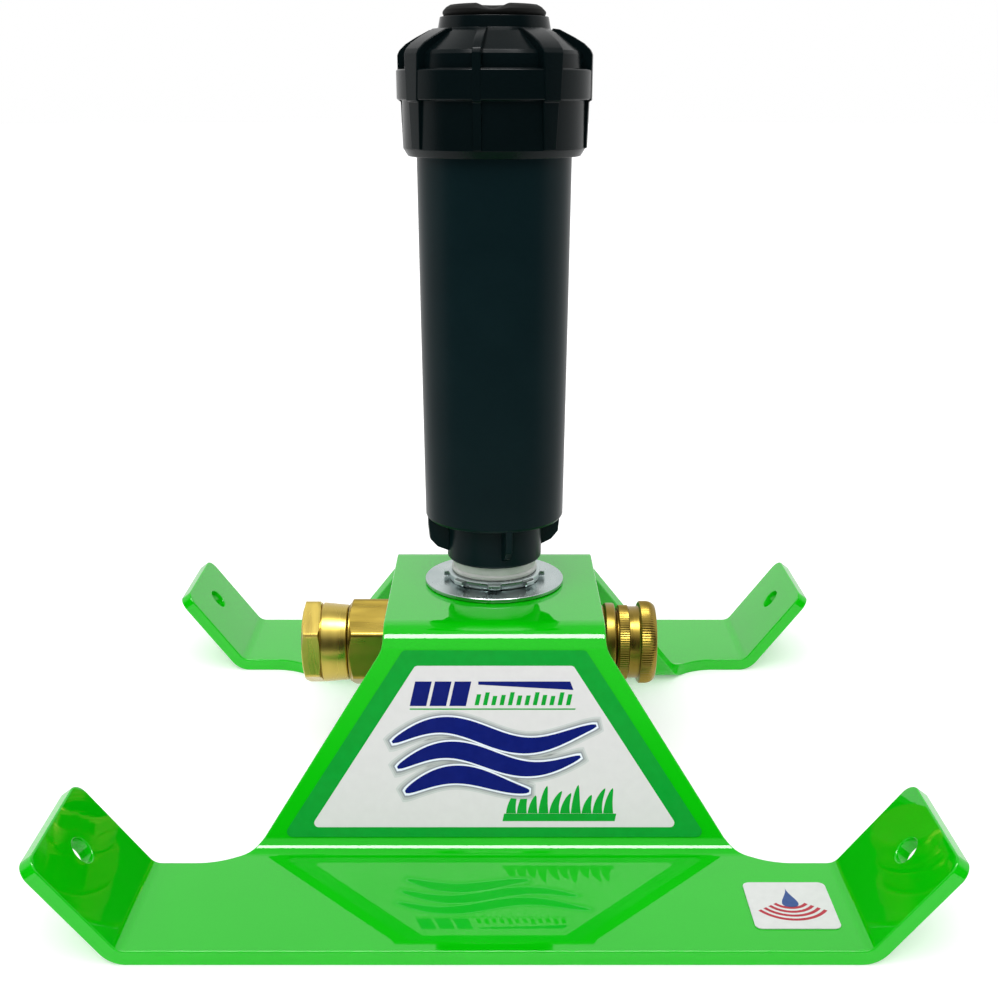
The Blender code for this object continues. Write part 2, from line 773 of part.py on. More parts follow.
def build_turbine():
    stator = turned(
        "stator",
        [(1.0, 138.6), (3.4, 138.6), (3.4, 137.0), (15.7, 137.0), (15.7, 134.6), (1.0, 134.6)],
        finish="white_nylon",
        steps=COARSE,
    )
    port_place = (
        Matrix.Translation((10.5 * MM, 0, 135.8 * MM))
        @ Matrix.Rotation(math.radians(40), 4, "X")
    )
    port = box("port", (4.6 * MM, 2.4 * MM, 12 * MM), port_place)
    port.data.transform(port.matrix_world)
    cut(stator, spun_copies("ports", port.data, STATOR_PORTS, ON_ROTOR))
    bpy.data.objects.remove(port)
    turbine = turned(
        "turbine",
        [(1.0, 154.0), (1.7, 154.0), (1.7, 148.4), (4.0, 148.0), (4.0, 139.4), (1.0, 139.4)],
        finish="white_nylon",
        steps=16,
    )
    blade_place = (
        Matrix.Translation((7.4 * MM, 0, 143.6 * MM))
        @ Matrix.Rotation(math.radians(-32), 4, "X")
    )
    blade = box("blade", (8.4 * MM, 0.9 * MM, 7.4 * MM), blade_place)
    blade.data.transform(blade.matrix_world)
    join(turbine, spun_copies("blades", blade.data, TURBINE_BLADES, ON_ROTOR))
    bpy.data.objects.remove(blade)
    pinion = gear_outline(PINION_TEETH, GEAR_MODULE, 0, PINION_TIP)
    prism(
        "turbine_pinion",
        [pinion, circle((0, 0), AXLE_BORE, 12)],
        154.3 * MM, 158.3 * MM, ON_ROTOR, "stainless_steel",
    )


def compound_gear(name, place, wheel_low, pinion_high, wheel_phase, pinion_phase):
    """A wheel with a pinion above it, free to turn on its axle."""
    wheel_high = wheel_low + WHEEL_THICKNESS
    wheel = prism(
        name,
        [gear_outline(WHEEL_TEETH, GEAR_MODULE, wheel_phase, WHEEL_TIP)],
        wheel_low, wheel_high, place, "white_nylon",
    )
    pinion = prism(
        name + "_pinion",
        [gear_outline(PINION_TEETH, GEAR_MODULE, pinion_phase, PINION_TIP)],
        wheel_high - 0.5 * MM, pinion_high, place,
    )
    bore = prism(
        name + "_bore",
        [circle((0, 0), AXLE_BORE, 12)],
        wheel_low - 2 * MM, pinion_high + 2 * MM, place,
    )
    join(wheel, pinion)
    cut(wheel, bore)


def build_gear_train():
    """Four meshes of 8 to 24 teeth, going up by turns on the lay axle and on the main axle."""
    half_gap = TAU / WHEEL_TEETH / 2
    compound_gear("idler_gear_1", ON_LAY_AXLE, 154.9 * MM, 162.4 * MM, half_gap, TAU / 2)
    compound_gear("idler_gear_2", ON_ROTOR, 158.9 * MM, 166.4 * MM, half_gap, 0)
    compound_gear("idler_gear_3", ON_LAY_AXLE, 162.9 * MM, 170.4 * MM, half_gap, TAU / 2)
    output = prism(
        "output_gear",
        [gear_outline(WHEEL_TEETH, GEAR_MODULE, half_gap, WHEEL_TIP)],
        166.9 * MM, 170.2 * MM, ON_ROTOR, "white_nylon",
    )
    hub = turned("output_hub", [(0, 170.0), (2.7, 170.0), (2.7, 180.0), (0, 180.0)], steps=16)
    bore = turned("output_bore", [(0, 160.0), (0.95, 160.0), (0.95, 190.0), (0, 190.0)], steps=12)
    join(output, hub)
    cut(output, bore)
    turned(
        "main_axle",
        [(0, 135.2), (0.7, 135.2), (0.7, 178.6), (0, 178.6)],
        finish="stainless_steel",
        steps=12,
    )
    turned(
        "lay_axle",
        [(0, 151.6), (0.7, 151.6), (0.7, 172.0), (0, 172.0)],
        ON_LAY_AXLE, "stainless_steel", 12,
    )


def teardrop(main_radius, lay_radius, steps=10):
    """Outline round both axles: an arc about each, joined by straight sides."""
    lean = math.acos((main_radius - lay_radius) / SHAFT_SPACING)
    main = arc((0, 0), main_radius, lean, TAU - lean, steps)
    lay = arc((SHAFT_SPACING, 0), lay_radius, -lean, lean, steps)
    return main + lay


def build_gearbox():
    housing = prism(
        "gearbox_housing",
        [teardrop(7.2 * MM, 7.0 * MM)],
        151.2 * MM, 172.2 * MM, ON_ROTOR, "grey_plastic",
    )
    hollow = prism(
        "gearbox_hollow", [teardrop(6.3 * MM, 6.1 * MM)], 153.2 * MM, 175 * MM, ON_ROTOR
    )
    tube_hole = prism("tube_hole", [circle((0, 0), 2.1 * MM, 16)], 150 * MM, 155 * MM, ON_ROTOR)
    pin_hole = prism("pin_hole", [circle((0, 0), 1.0 * MM, 12)], 150 * MM, 155 * MM, ON_LAY_AXLE)
    cut(housing, hollow, tube_hole, pin_hole)
    cover = turned(
        "gearbox_cover",
        [(3.1, 174.8), (15.7, 174.8), (15.7, 172.6), (3.1, 172.6)],
        finish="grey_plastic",
        steps=COARSE,
    )
    port = prism("cover_port", [circle((11.6 * MM, 0), 2.3 * MM, 10)], 170 * MM, 178 * MM, Matrix())
    port.data.transform(port.matrix_world)
    cut(cover, spun_copies("cover_ports", port.data, COVER_PORTS, ON_ROTOR))
    bpy.data.objects.remove(port)


def build_output_shaft():
    shaft = turned(
        "output_shaft",
        [(5.6, 259.4), (7.0, 259.4), (7.0, 177.0), (3.0, 177.0), (3.0, 180.6), (5.6, 180.6)],
        finish="white_nylon",
        steps=COARSE,
    )
    windows = []
    for name, size in (("window_x", (20, 5, 14)), ("window_y", (5, 20, 14))):
        place = ON_ROTOR @ Matrix.Translation((0, 0, 190 * MM))
        windows.append(box(name, tuple(v * MM for v in size), place))
    cut(shaft, *windows)


# ---- turret -------------------------------------------------------------------------------------
def build_turret():
    turret = turned(
        "turret",
        [(0, 283.8), (16.9, 283.8), (17.5, 283.2), (17.5, 250.8), (16.0, 250.8), (16.0, 258.6),
         (7.4, 258.6), (7.4, 260.0), (0, 260.0)],
        finish="black_plastic",
        steps=FINE,
    )
    bore = turned("nozzle_bore", [(0, -2), (5.3, -2), (5.3, 26), (0, 26)], ALONG_NOZZLE, steps=20)
    screw_hole = turned(
        "screw_hole", [(0, 268), (1.6, 268), (1.6, 290), (0, 290)], ON_RADIUS_SCREW, steps=12
    )
    arc_hole = turned(
        "arc_hole", [(0, 250), (2.0, 250), (2.0, 290), (0, 290)], ON_ARC_SCREW, steps=12
    )
    cut(turret, bore, screw_hole, arc_hole)
    turned(
        "nozzle",
        [(4.2, 5.6), (5.0, 5.6), (5.0, 13.4), (2.3, 13.4), (2.3, 11.4)],
        ALONG_NOZZLE, "grey_plastic", 20,
    )
    turned(
        "radius_screw",
        [(0, 283.2), (1.3, 283.2), (1.3, 276.6), (0.6, 275.8), (0, 275.8)],
        ON_RADIUS_SCREW, "stainless_steel", 12,
    )
    cover = turned(
        "turret_cover",
        [(0, 287.7), (12.0, 288.1), (14.3, 288.4), (17.3, 287.5), (18.0, 286.7), (18.1, 285.6),
         (17.4, 284.2), (0, 284.2)],
        finish="black_rubber",
        steps=FINE,
    )
    scallop = turned(
        "scallop",
        [(0, -10), (6.0, -10), (6.0, 10), (0, 10)],
        Matrix.Translation((17.4 * MM, 0, 292.6 * MM)) @ Matrix.Rotation(TAU / 4, 4, "Y"),
        steps=16,
    )
    scallop.data.transform(scallop.matrix_world)
    cut(cover, spun_copies("scallops", scallop.data, TURRET_SCALLOPS, ON_ROTOR, math.radians(-92)))
    bpy.data.objects.remove(scallop)


def build_arc_setting():
    half_gap = TAU / ARC_RING_TEETH / 2
    prism(
        "arc_ring",
        [gear_outline(ARC_RING_TEETH, ARC_MODULE, half_gap, WHEEL_TIP), circle((0, 0), ARC_RING_BORE)],
        252.6 * MM, 255.4 * MM, ON_ROTOR, "white_nylon",
    )
    screw = prism(
        "arc_screw",
        [gear_outline(ARC_PINION_TEETH, ARC_MODULE, 0, PINION_TIP)],
        252.2 * MM, 255.8 * MM, ON_ARC_SCREW, "stainless_steel",
    )
    stem = turned(
        "arc_stem", [(0, 255.3), (1.6, 255.3), (1.6, 283.0), (0, 283.0)], ON_ARC_SCREW, steps=12
    )
    join(screw, stem)


def build_all():
    fold = build_sled()
    build_labels(fold)
    build_plate_clamp()
    build_tee()
    build_inlet()
    build_outlet()
    build_case()
    build_cap()
    build_seal()
    build_spring()
    build_riser()
    build_filter()
    build_turbine()
    build_gear_train()
    build_gearbox()
    build_output_shaft()
    build_turret()
    build_arc_setting()


build_all()
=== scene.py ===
"""Looks of a field sprinkler: a pop-up rotor on a sled bent from one steel plate.

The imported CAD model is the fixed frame. Each piece that shows is rebuilt here as a fine mesh in the
same place, and the pieces sealed inside the rotor keep their CAD shape and get a material.
Sizes in the profiles are millimetres; Blender's units are metres.
"""

import math

import bmesh
import bpy
from mathutils import Matrix, Vector


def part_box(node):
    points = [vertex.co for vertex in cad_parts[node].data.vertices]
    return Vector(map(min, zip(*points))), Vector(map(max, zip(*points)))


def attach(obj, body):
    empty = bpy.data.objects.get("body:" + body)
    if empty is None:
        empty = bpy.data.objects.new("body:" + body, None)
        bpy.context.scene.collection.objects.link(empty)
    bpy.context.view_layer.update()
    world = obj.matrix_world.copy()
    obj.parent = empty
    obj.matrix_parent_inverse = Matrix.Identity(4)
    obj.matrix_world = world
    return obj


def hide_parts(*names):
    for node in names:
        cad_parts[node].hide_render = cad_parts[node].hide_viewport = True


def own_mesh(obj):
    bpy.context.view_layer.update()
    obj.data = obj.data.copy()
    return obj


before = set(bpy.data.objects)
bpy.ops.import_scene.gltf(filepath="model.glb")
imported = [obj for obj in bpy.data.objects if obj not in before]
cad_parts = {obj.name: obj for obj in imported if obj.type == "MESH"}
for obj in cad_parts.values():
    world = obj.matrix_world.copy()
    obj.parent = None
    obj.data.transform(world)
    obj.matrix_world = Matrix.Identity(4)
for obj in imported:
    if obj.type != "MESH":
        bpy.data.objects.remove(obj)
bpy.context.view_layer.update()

MM = 0.001
TAU = 2 * math.pi
MERGE = 1e-4  # points closer than this are one

# ---- the sled's plate, in millimetres ----
DATUM = 0.8  # heights on the rotor's and fittings' axes start this far over the floor
PLATE = 5.6
SLED_HEIGHT = DATUM + 77.3
SLED_HALF_DEPTH = 152.4
LEG_FALL = math.radians(60.8)
LEG_SIN, LEG_COS = math.sin(LEG_FALL), math.cos(LEG_FALL)
TOP_FLAT_HALF = 39.3
TOP_BEND_OUTER = 13.4
FOOT_BEND_INNER = 8.0
WAIST_HALF = 42.0
FLARE = 0.612  # how fast the leg widens on each side, for each millimetre down it
WING_SETBACK = 4.0
WAIST_FILLET = 12.0
WING_FILLET = 25.0
TAB_CORNER = 5.5
TAB_BEND_START = 120.9
TAB_BEND_INNER = 5.0
TAB_RISE = math.radians(53.6)
TAB_FLAT = 39.0
TAB_HOLE_R = 4.75
TAB_HOLE_FROM_END = 14.5
NIPPLE_HOLE_R = 17.3  # in the plate and in the washer
PLATE_EDGE = 0.6  # rounding of the painted edges
BEND_STEPS = 14

LABEL_LOW_RUN = 70.3  # down the leg from the top bend to the label's lower edge
LABEL_HEIGHT = 69.5
LABEL_LIFT = 0.15  # the film's back over the leg's face
INK_BASE, INK_TOP = 0.25, 0.28  # flat inks over the film's back
BAR_LEAN = 0.22
# start, length, height and rise of each wave
WAVES = ((-38, 76, 36.0, 3.0), (-36, 68, 26.5, 3.5), (-33, 46, 17.5, 2.5))
THREAD_PITCH = 2.209  # 11.5 to the inch, the hose threads and the pipe's alike
THREAD_STEPS = 8  # stations in one pitch
NOZZLE_RISE = math.radians(25)
NOZZLE_START_Z = 263.0
SPRING_MEAN_R = 22.2
SPRING_WIRE_R = 0.9
SPRING_TURNS = 9
RIB_EASE = 0.35
CAMERA_TILT_DOWN = 24.22  # degrees


def middle(node, axis):
    low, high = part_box(node)
    return (low[axis] + high[axis]) / 2


ROTOR_Y = middle("turret_cover", 1) / MM
FITTING_Z = middle("hose_cap", 2) / MM
ON_ROTOR = Matrix.Translation((0, ROTOR_Y * MM, DATUM * MM))
# a piece turned about Z lies along +X here, so its heights become X positions
ON_FITTINGS = (
    Matrix.Translation((0, ROTOR_Y * MM, FITTING_Z * MM)) @ Matrix.Rotation(TAU / 4, 4, "Y")
)
ON_ARC_SCREW = ON_ROTOR @ Matrix.Translation((middle("arc_screw", 0), 0, 0))
ON_RADIUS_SCREW = Matrix.Translation((0, middle("radius_screw", 1), DATUM * MM))
ALONG_NOZZLE = (
    ON_ROTOR
    @ Matrix.Translation((0, 0, NOZZLE_START_Z * MM))
    @ Matrix.Rotation(TAU / 4 - NOZZLE_RISE, 4, "X")
)


# ---- materials ----
def new_node(tree, kind, **values):
    """A shader node with its sockets set, where an underscore stands for a blank."""
    node = tree.nodes.new("ShaderNode" + kind)
    for socket, value in values.items():
        node.inputs[socket.replace("_", " ")].default_value = value
    return node


class Finish:
    """A Principled material and short calls for the nodes that vary it."""

    def __init__(self, name, roughness, metallic=0.0, specular=0.5):
        self.material = bpy.data.materials.new(name)
        self.material.use_nodes = True
        self.tree = self.material.node_tree
        self.shader = self.tree.nodes["Principled BSDF"]
        self.set("Roughness", roughness)
        self.set("Metallic", metallic)
        self.set("Specular IOR Level", specular)
        self.place = self.tree.nodes.new("ShaderNodeTexCoord").outputs["Object"]

    def set(self, socket, value):
        self.shader.inputs[socket].default_value = value

    def link(self, output, target):
        self.tree.links.new(output, target)

    def noise(self, scale, detail=2.0, stretch=None):
        """Noise in the object's coordinates, scaled per axis for grain that runs one way."""
        node = new_node(self.tree, "TexNoise", Scale=scale, Detail=detail)
        place = self.place
        if stretch:
            mapping = new_node(self.tree, "Mapping", Scale=stretch)
            self.link(place, mapping.inputs["Vector"])
            place = mapping.outputs["Vector"]
        self.link(place, node.inputs["Vector"])
        return node.outputs["Fac"]

    def range(self, value, low, high):
        """The middle of a noise's spread, mapped from low to high."""
        node = new_node(self.tree, "MapRange", From_Min=0.3, From_Max=0.7, To_Min=low, To_Max=high)
        self.link(value, node.inputs["Value"])
        return node.outputs["Result"]

    def colour(self, noise, first, second):
        node = self.tree.nodes.new("ShaderNodeMix")
        node.data_type = "RGBA"
        node.inputs["A"].default_value = (*first, 1)
        node.inputs["B"].default_value = (*second, 1)
        self.link(self.range(noise, 0, 1), node.inputs["Factor"])
        self.link(node.outputs["Result"], self.shader.inputs["Base Color"])

    def vary_roughness(self, noise, low, high):
        self.link(self.range(noise, low, high), self.shader.inputs["Roughness"])

    def bump(self, height, strength, distance, sockets=("Normal",)):
        node = new_node(self.tree, "Bump", Strength=strength, Distance=distance * MM)
        self.link(height, node.inputs["Height"])
        for socket in sockets:
            self.link(node.outputs["Normal"], self.shader.inputs[socket])


def powder_coat():
    """Glossy cured powder: an even colour under a clear skin with a faint orange peel."""
    paint = Finish("green_powder_coat", 0.32, 0.0, 0.0)
    paint.colour(paint.noise(22), (0.001, 0.475, 0.001), (0.002, 0.500, 0.002))
    paint.set("Coat Weight", 1.0)
    paint.set("Coat Roughness", 0.022)
    paint.bump(paint.noise(420, 1.0), 0.035, 0.05, ("Normal", "Coat Normal"))
    return paint.material


def vinyl(name, first, second, roughness=0.20):
    """Printed film with a slight tooth and a soft sheen."""
    film = Finish(name, roughness, 0.0, 0.14)
    film.colour(film.noise(300), first, second)
    film.vary_roughness(film.noise(60), roughness * 0.85, roughness * 1.2)
    film.bump(film.noise(900, 1.0), 0.04, 0.02)
    return film.material


def zinc():
    """Bright zinc plate with fine stamped scratches and a bluish bloom."""
    plate = Finish("zinc_plate", 0.28, 1.0)
    plate.colour(plate.noise(70, 3.0), (0.40, 0.475, 0.475), (0.50, 0.565, 0.555))
    plate.vary_roughness(plate.noise(160, 3.0, (1, 0.25, 1)), 0.20, 0.38)
    plate.bump(plate.noise(700, 2.0, (1, 0.12, 1)), 0.12, 0.04)
    return plate.material


def brass(name, grain, roughness, first, second):
    """Machined brass. Grain is how the turning marks are stretched: wide along the cut."""
    metal = Finish(name, roughness, 1.0)
    metal.colour(metal.noise(45, 3.0), first, second)
    metal.vary_roughness(metal.noise(240, 3.0, grain), roughness * 0.8, roughness * 1.25)
    metal.bump(metal.noise(1100, 2.0, grain), 0.20, 0.05)
    return metal.material


def plastic(name, first, second, roughness, specular=0.5, texture=0.10):
    """Moulded plastic: a fine spark texture and slow changes of gloss."""
    resin = Finish(name, roughness, 0.0, specular)
    resin.colour(resin.noise(35), first, second)
    resin.vary_roughness(resin.noise(14, 1.0), roughness * 0.94, roughness * 1.06)
    resin.bump(resin.noise(1500, 2.0), texture, 0.02)
    return resin.material


def galvanised():
    """Pipe with a dull white-grey skin, its grain running round it."""
    skin = Finish("grey_pipe", 0.42, 0.25)
    skin.colour(skin.noise(120, 3.0, (1, 1, 3)), (0.42, 0.43, 0.41), (0.56, 0.57, 0.55))
    skin.vary_roughness(skin.noise(200, 2.0), 0.34, 0.52)
    skin.bump(skin.noise(240, 3.0, (0.3, 0.3, 3)), 0.20, 0.12)
    return skin.material


def steel():
    metal = Finish("stainless_steel", 0.22, 1.0)
    metal.colour(metal.noise(90), (0.52, 0.52, 0.51), (0.62, 0.62, 0.61))
    metal.vary_roughness(metal.noise(400, 2.0), 0.16, 0.30)
    metal.bump(metal.noise(1200, 2.0), 0.08, 0.03)
    return metal.material


PAINT = powder_coat()
ZINC = zinc()
ALONG_FLATS, ROUND_AXIS = (0.12, 1, 1), (1, 0.12, 0.12)
BRASS = brass("brass", ALONG_FLATS, 0.3, (0.345, 0.245, 0.042), (0.42, 0.305, 0.06))
TURNED_BRASS = brass("turned_brass", ROUND_AXIS, 0.27, (0.5, 0.37, 0.075), (0.6, 0.455, 0.105))
AGED_BRASS = brass("aged_brass", ROUND_AXIS, 0.32, (0.245, 0.165, 0.026), (0.32, 0.225, 0.042))
CAST_BRASS = brass("cast_brass", None, 0.4, (0.4, 0.27, 0.08), (0.52, 0.36, 0.11))
BLACK = plastic("black_plastic", (0.0022, 0.0092, 0.0112), (0.003, 0.0112, 0.0134), 0.3, 0.06)
# Painted shade: the cap is the case's black plastic given a darker colour, standing in for the dark
# its top shows.
CAP_BLACK_PAINTED_SHADE = plastic("cap_plastic_painted_shade", (0.0012, 0.004, 0.0046), (0.0018, 0.005, 0.0058), 0.24, 0.1)
TURRET_BLACK = plastic("turret_plastic", (0.004, 0.005, 0.006), (0.006, 0.007, 0.008), 0.34, 0.12)
RUBBER = plastic("black_rubber", (0.0035, 0.004, 0.0035), (0.006, 0.006, 0.0055), 0.6, 0.12, 0.25)
GREY = plastic("grey_plastic", (0.34, 0.36, 0.35), (0.4, 0.42, 0.41), 0.42)
ACETAL = plastic("acetal", (0.7, 0.69, 0.64), (0.78, 0.77, 0.72), 0.38)
NOZZLE_BLUE = plastic("nozzle_plastic", (0.02, 0.06, 0.2), (0.028, 0.075, 0.235), 0.36)
PIPE = galvanised()
STEEL = steel()
LABEL_GREEN = vinyl("label_green", (0.0, 0.3, 0.024), (0.0, 0.325, 0.028), 0.18)
LABEL_WHITE = vinyl("label_white", (0.655, 0.64, 0.65), (0.675, 0.66, 0.67))
PRINT_NAVY = vinyl("print_navy", (0.0, 0.006, 0.135), (0.001, 0.008, 0.155))
PRINT_GREEN = vinyl("print_green", (0.0, 0.31, 0.022), (0.0, 0.34, 0.03))
PRINT_RED = vinyl("print_red", (0.4, 0.03, 0.045), (0.46, 0.04, 0.06))
PRINT_BLUE = vinyl("print_blue", (0.03, 0.075, 0.24), (0.04, 0.09, 0.27))
PRINT_RIM = vinyl("print_rim", (0.74, 0.78, 0.88), (0.78, 0.82, 0.91))
STICKER_WHITE = vinyl("sticker_white", (0.66, 0.67, 0.66), (0.7, 0.71, 0.7), 0.22)


# ---- mesh helpers ----
def link_object(name, data):
    item = bpy.data.objects.new(name, data)
    bpy.context.scene.collection.objects.link(item)
    return item


def keep_creases(mesh, angle):
    """Smooth shading, but for edges that turn by more than the angle, where there is one."""
    mesh.shade_smooth()
    if angle:
        mesh.set_sharp_from_angle(angle=math.radians(angle))


def add_piece(name, mesh, material, slot, replaced=(), body="root", crease=None, flats=False):
    """A finished piece, riding on its body and standing for its CAD nodes. With flats, large
    faces keep their own direction, so they stay flat up to their rounded edges."""
    piece = link_object(name, mesh)
    mesh.materials.clear()
    mesh.materials.append(material)
    keep_creases(mesh, crease)
    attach(piece, body)
    if replaced:
        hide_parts(*replaced)
    if flats:
        modifier = piece.modifiers.new("Flats", "WEIGHTED_NORMAL")
        modifier.mode = "FACE_AREA"
        modifier.keep_sharp = True
    return piece


def to_mesh(work, name):
    mesh = bpy.data.meshes.new(name)
    work.to_mesh(mesh)
    work.free()
    return mesh


def applied(holder):
    """The mesh of an object after its modifiers or curve settings. The object goes."""
    graph = bpy.context.evaluated_depsgraph_get()
    mesh = bpy.data.meshes.new_from_object(holder.evaluated_get(graph))
    bpy.data.objects.remove(holder)
    return mesh


def mesh_from(work, name, place=Matrix.Identity(4)):
    """Turns a bmesh in millimetres into a clean mesh in metres, at its place."""
    bmesh.ops.remove_doubles(work, verts=work.verts, dist=MERGE)
    loose = [edge for edge in work.edges if not edge.link_faces]
    bmesh.ops.delete(work, geom=loose, context="EDGES")
    bmesh.ops.recalc_face_normals(work, faces=work.faces)
    bmesh.ops.transform(work, matrix=place @ Matrix.Scale(MM, 4), verts=work.verts)
    return to_mesh(work, name)


def soften(profile, radius, steps=3):
    """Rounds the corners of a closed (radius, height) profile as far as its edges allow."""
    outline = []
    count = len(profile)
    for index, corner in enumerate(profile):
        here = Vector(corner)
        before = Vector(profile[index - 1]) - here
        after = Vector(profile[(index + 1) % count]) - here
        bend = math.pi - before.angle(after)
        if here.x < 1e-6 or bend < math.radians(14):
            outline.append(tuple(here))
            continue
        reach = min(radius * math.tan(bend / 2), 0.45 * before.length, 0.45 * after.length)
        start = here + before.normalized() * reach
        end = here + after.normalized() * reach
        for step in range(steps + 1):
            t = step / steps
            outline.append(tuple(start * (1 - t) ** 2 + here * 2 * t * (1 - t) + end * t * t))
    return outline


def join_rings(work, ring, following):
    for index in range(len(ring)):
        other = (index + 1) % len(ring)
        work.faces.new((ring[index], ring[other], following[other], following[index]))


def revolve(stations, steps):
    """A closed loop of (radius, height) stations turned about Z. A radius may be a function of
    the angle, which makes flats, knurls and threads."""
    work = bmesh.new()
    rings = []
    for radius, height in stations:
        ring = []
        for step in range(steps):
            angle = TAU * step / steps
            reach = radius(angle) if callable(radius) else radius
            ring.append(work.verts.new((reach * math.cos(angle), reach * math.sin(angle), height)))
        rings.append(ring)
    for ring, following in zip(rings, rings[1:] + rings[:1]):
        join_rings(work, ring, following)
    return work


def turned(name, stations, steps, *facts, place=ON_FITTINGS, **more):
    add_piece(name, mesh_from(revolve(stations, steps), name, place), *facts, **more)


def lathe(name, profile, *facts, place=ON_ROTOR, edge=0.4, steps=96, **more):
    """A turned piece with rounded corners."""
    turned(name, soften(profile, edge), steps, *facts, place=place, flats=True, **more)


def off_centre(angle, count):
    """How far an angle is from the nearest of count even steps round the circle."""
    return abs((angle + TAU / count / 2) % (TAU / count) - TAU / count / 2)


def hexagon(corner, cap):
    """The radius of a hexagon with its corners at multiples of 60 degrees, tips eased by cap."""
    def radius(angle):
        from_flat = (angle % (TAU / 6)) - TAU / 12
        return min(corner * math.cos(TAU / 12) / math.cos(from_flat), corner - cap)

    return radius


def no_more(radius, limit):
    """A radius function cut back to a turned limit, as a chamfer on a hexagon is."""
    return lambda angle: min(radius(angle), limit)


def chamfer(shape, limit, widening, height, rise, steps, first=0):
    """Stations of a hexagon's chamfer, its turned limit changing evenly with height."""
    return [
        (no_more(shape, limit + widening * step / steps), height + rise * step / steps)
        for step in range(first, steps + 1)
    ]


def knurl(radius, teeth, depth):
    """Straight ridges; the mesh has four columns for each."""
    return lambda angle: radius - depth * (0.5 + 0.5 * math.cos(angle * teeth))


def thread(crest, root, start, end):
    """Stations of one helical thread from height start to end, fading out at both ends."""
    count = round(abs(end - start) / THREAD_PITCH * THREAD_STEPS)
    stations = []
    for index in range(count + 1):
        height = start + (end - start) * index / count
        fade = min(1.0, 2.5 * min(index, count - index) / THREAD_STEPS)

        def radius(angle, height=height, fade=fade):
            phase = (height / THREAD_PITCH - angle / TAU) % 1.0
            ridge = min(1.0, 1.35 * (1 - abs(2 * phase - 1)))
            return crest + (root - crest) * fade * (1 - ridge)

        stations.append((radius, height))
    return stations


def rounded(corners, steps=10):
    """A closed outline from (x, y, radius) corners, each rounded to its radius."""
    outline = []
    count = len(corners)
    for index, (x, y, radius) in enumerate(corners):
        here = Vector((x, y))
        before = (Vector(corners[index - 1][:2]) - here).normalized()
        after = (Vector(corners[(index + 1) % count][:2]) - here).normalized()
        half = before.angle(after) / 2
        centre = here + (before + after).normalized() * radius / math.sin(half)
        reach = radius / math.tan(half)
        first = here + before * reach - centre
        turn = first.angle_signed(here + after * reach - centre)
        for step in range(steps + 1):
            spoke = first.copy()
            spoke.rotate(Matrix.Rotation(-turn * step / steps, 2))
            outline.append(tuple(centre + spoke))
    return outline


def circle(centre, radius, steps):
    cx, cy = centre
    turns = [TAU * step / steps for step in range(steps)]
    return [(cx + radius * math.cos(a), cy + radius * math.sin(a)) for a in turns]


def slab(outlines, low, high):
    """A flat outline with holes, made solid between two heights, in millimetres."""
    curve = bpy.data.curves.new("slab", "CURVE")
    curve.dimensions = "2D"
    curve.fill_mode = "BOTH"
    curve.extrude = (high - low) / 2
    for outline in outlines:
        spline = curve.splines.new("POLY")
        spline.points.add(len(outline) - 1)
        for point, (x, y) in zip(spline.points, outline):
            point.co = (x, y, 0, 1)
        spline.use_cyclic_u = True
    mesh = applied(link_object("slab", curve))
    work = bmesh.new()
    work.from_mesh(mesh)
    bmesh.ops.remove_doubles(work, verts=work.verts, dist=MERGE)
    bmesh.ops.translate(work, vec=(0, 0, (low + high) / 2), verts=work.verts)
    bpy.data.meshes.remove(mesh)
    return work


def inset(outline, amount, inward):
    """The outline moved into the material. Inward is 1 for an outer edge and -1 for a hole."""
    pairs = zip(outline, outline[1:] + outline[:1])
    area = sum(x0 * y1 - x1 * y0 for (x0, y0), (x1, y1) in pairs)
    turn = math.copysign(inward, area * inward)
    moved = []
    count = len(outline)
    for index, corner in enumerate(outline):
        here = Vector(corner)
        before = (here - Vector(outline[index - 1])).normalized()
        after = (Vector(outline[(index + 1) % count]) - here).normalized()
        along = (before + after).normalized()
        side = Vector((-along.y, along.x)) * turn
        moved.append(tuple(here + side * amount / max(0.5, along.dot(after))))
    return moved


def round_edged_plate(outlines, thickness, edge, steps=3):
    """A flat plate from an outer outline and holes, with its edges rounded."""
    work = bmesh.new()
    quarter = [TAU / 4 * step / steps for step in range(steps, -1, -1)]
    upper = [(edge * (1 - math.cos(a)), thickness / 2 - edge * (1 - math.sin(a))) for a in quarter]
    levels = upper + [(amount, -height) for amount, height in reversed(upper)]
    caps = ([], [])
    for number, outline in enumerate(outlines):
        rings = []
        for amount, height in levels:
            moved = inset(outline, amount, -1 if number else 1)
            rings.append([work.verts.new((x, y, height)) for x, y in moved])
        for ring, following in zip(rings, rings[1:]):
            join_rings(work, ring, following)
        for cap, ring in zip(caps, (rings[0], rings[-1])):
            cap += [work.edges.get((a, b)) for a, b in zip(ring, ring[1:] + ring[:1])]
    for cap in caps:
        bmesh.ops.triangle_fill(work, edges=cap, use_beauty=True)
    bmesh.ops.recalc_face_normals(work, faces=work.faces)
    return work


def copies_round(mesh, count, first, place):
    """One mesh that holds copies of another, spaced evenly round the local Z axis."""
    work = bmesh.new()
    for index in range(count):
        start = len(work.verts)
        work.from_mesh(mesh)
        work.verts.ensure_lookup_table()
        turn = Matrix.Rotation(first + index * TAU / count, 4, "Z")
        bmesh.ops.transform(work, matrix=place @ turn, verts=work.verts[start:])
    return to_mesh(work, mesh.name)


def combined(name, mesh, tools, operation):
    """A mesh after Boolean operations with other meshes, all in world coordinates."""
    holder = link_object(name, mesh)
    helpers = []
    for tool in tools:
        helper = link_object("tool", tool)
        helpers.append(helper)
        boolean = holder.modifiers.new(operation, "BOOLEAN")
        boolean.operation = operation
        boolean.object = helper
    result = applied(holder)
    result.name = name
    for helper in helpers:
        bpy.data.objects.remove(helper)
    return result


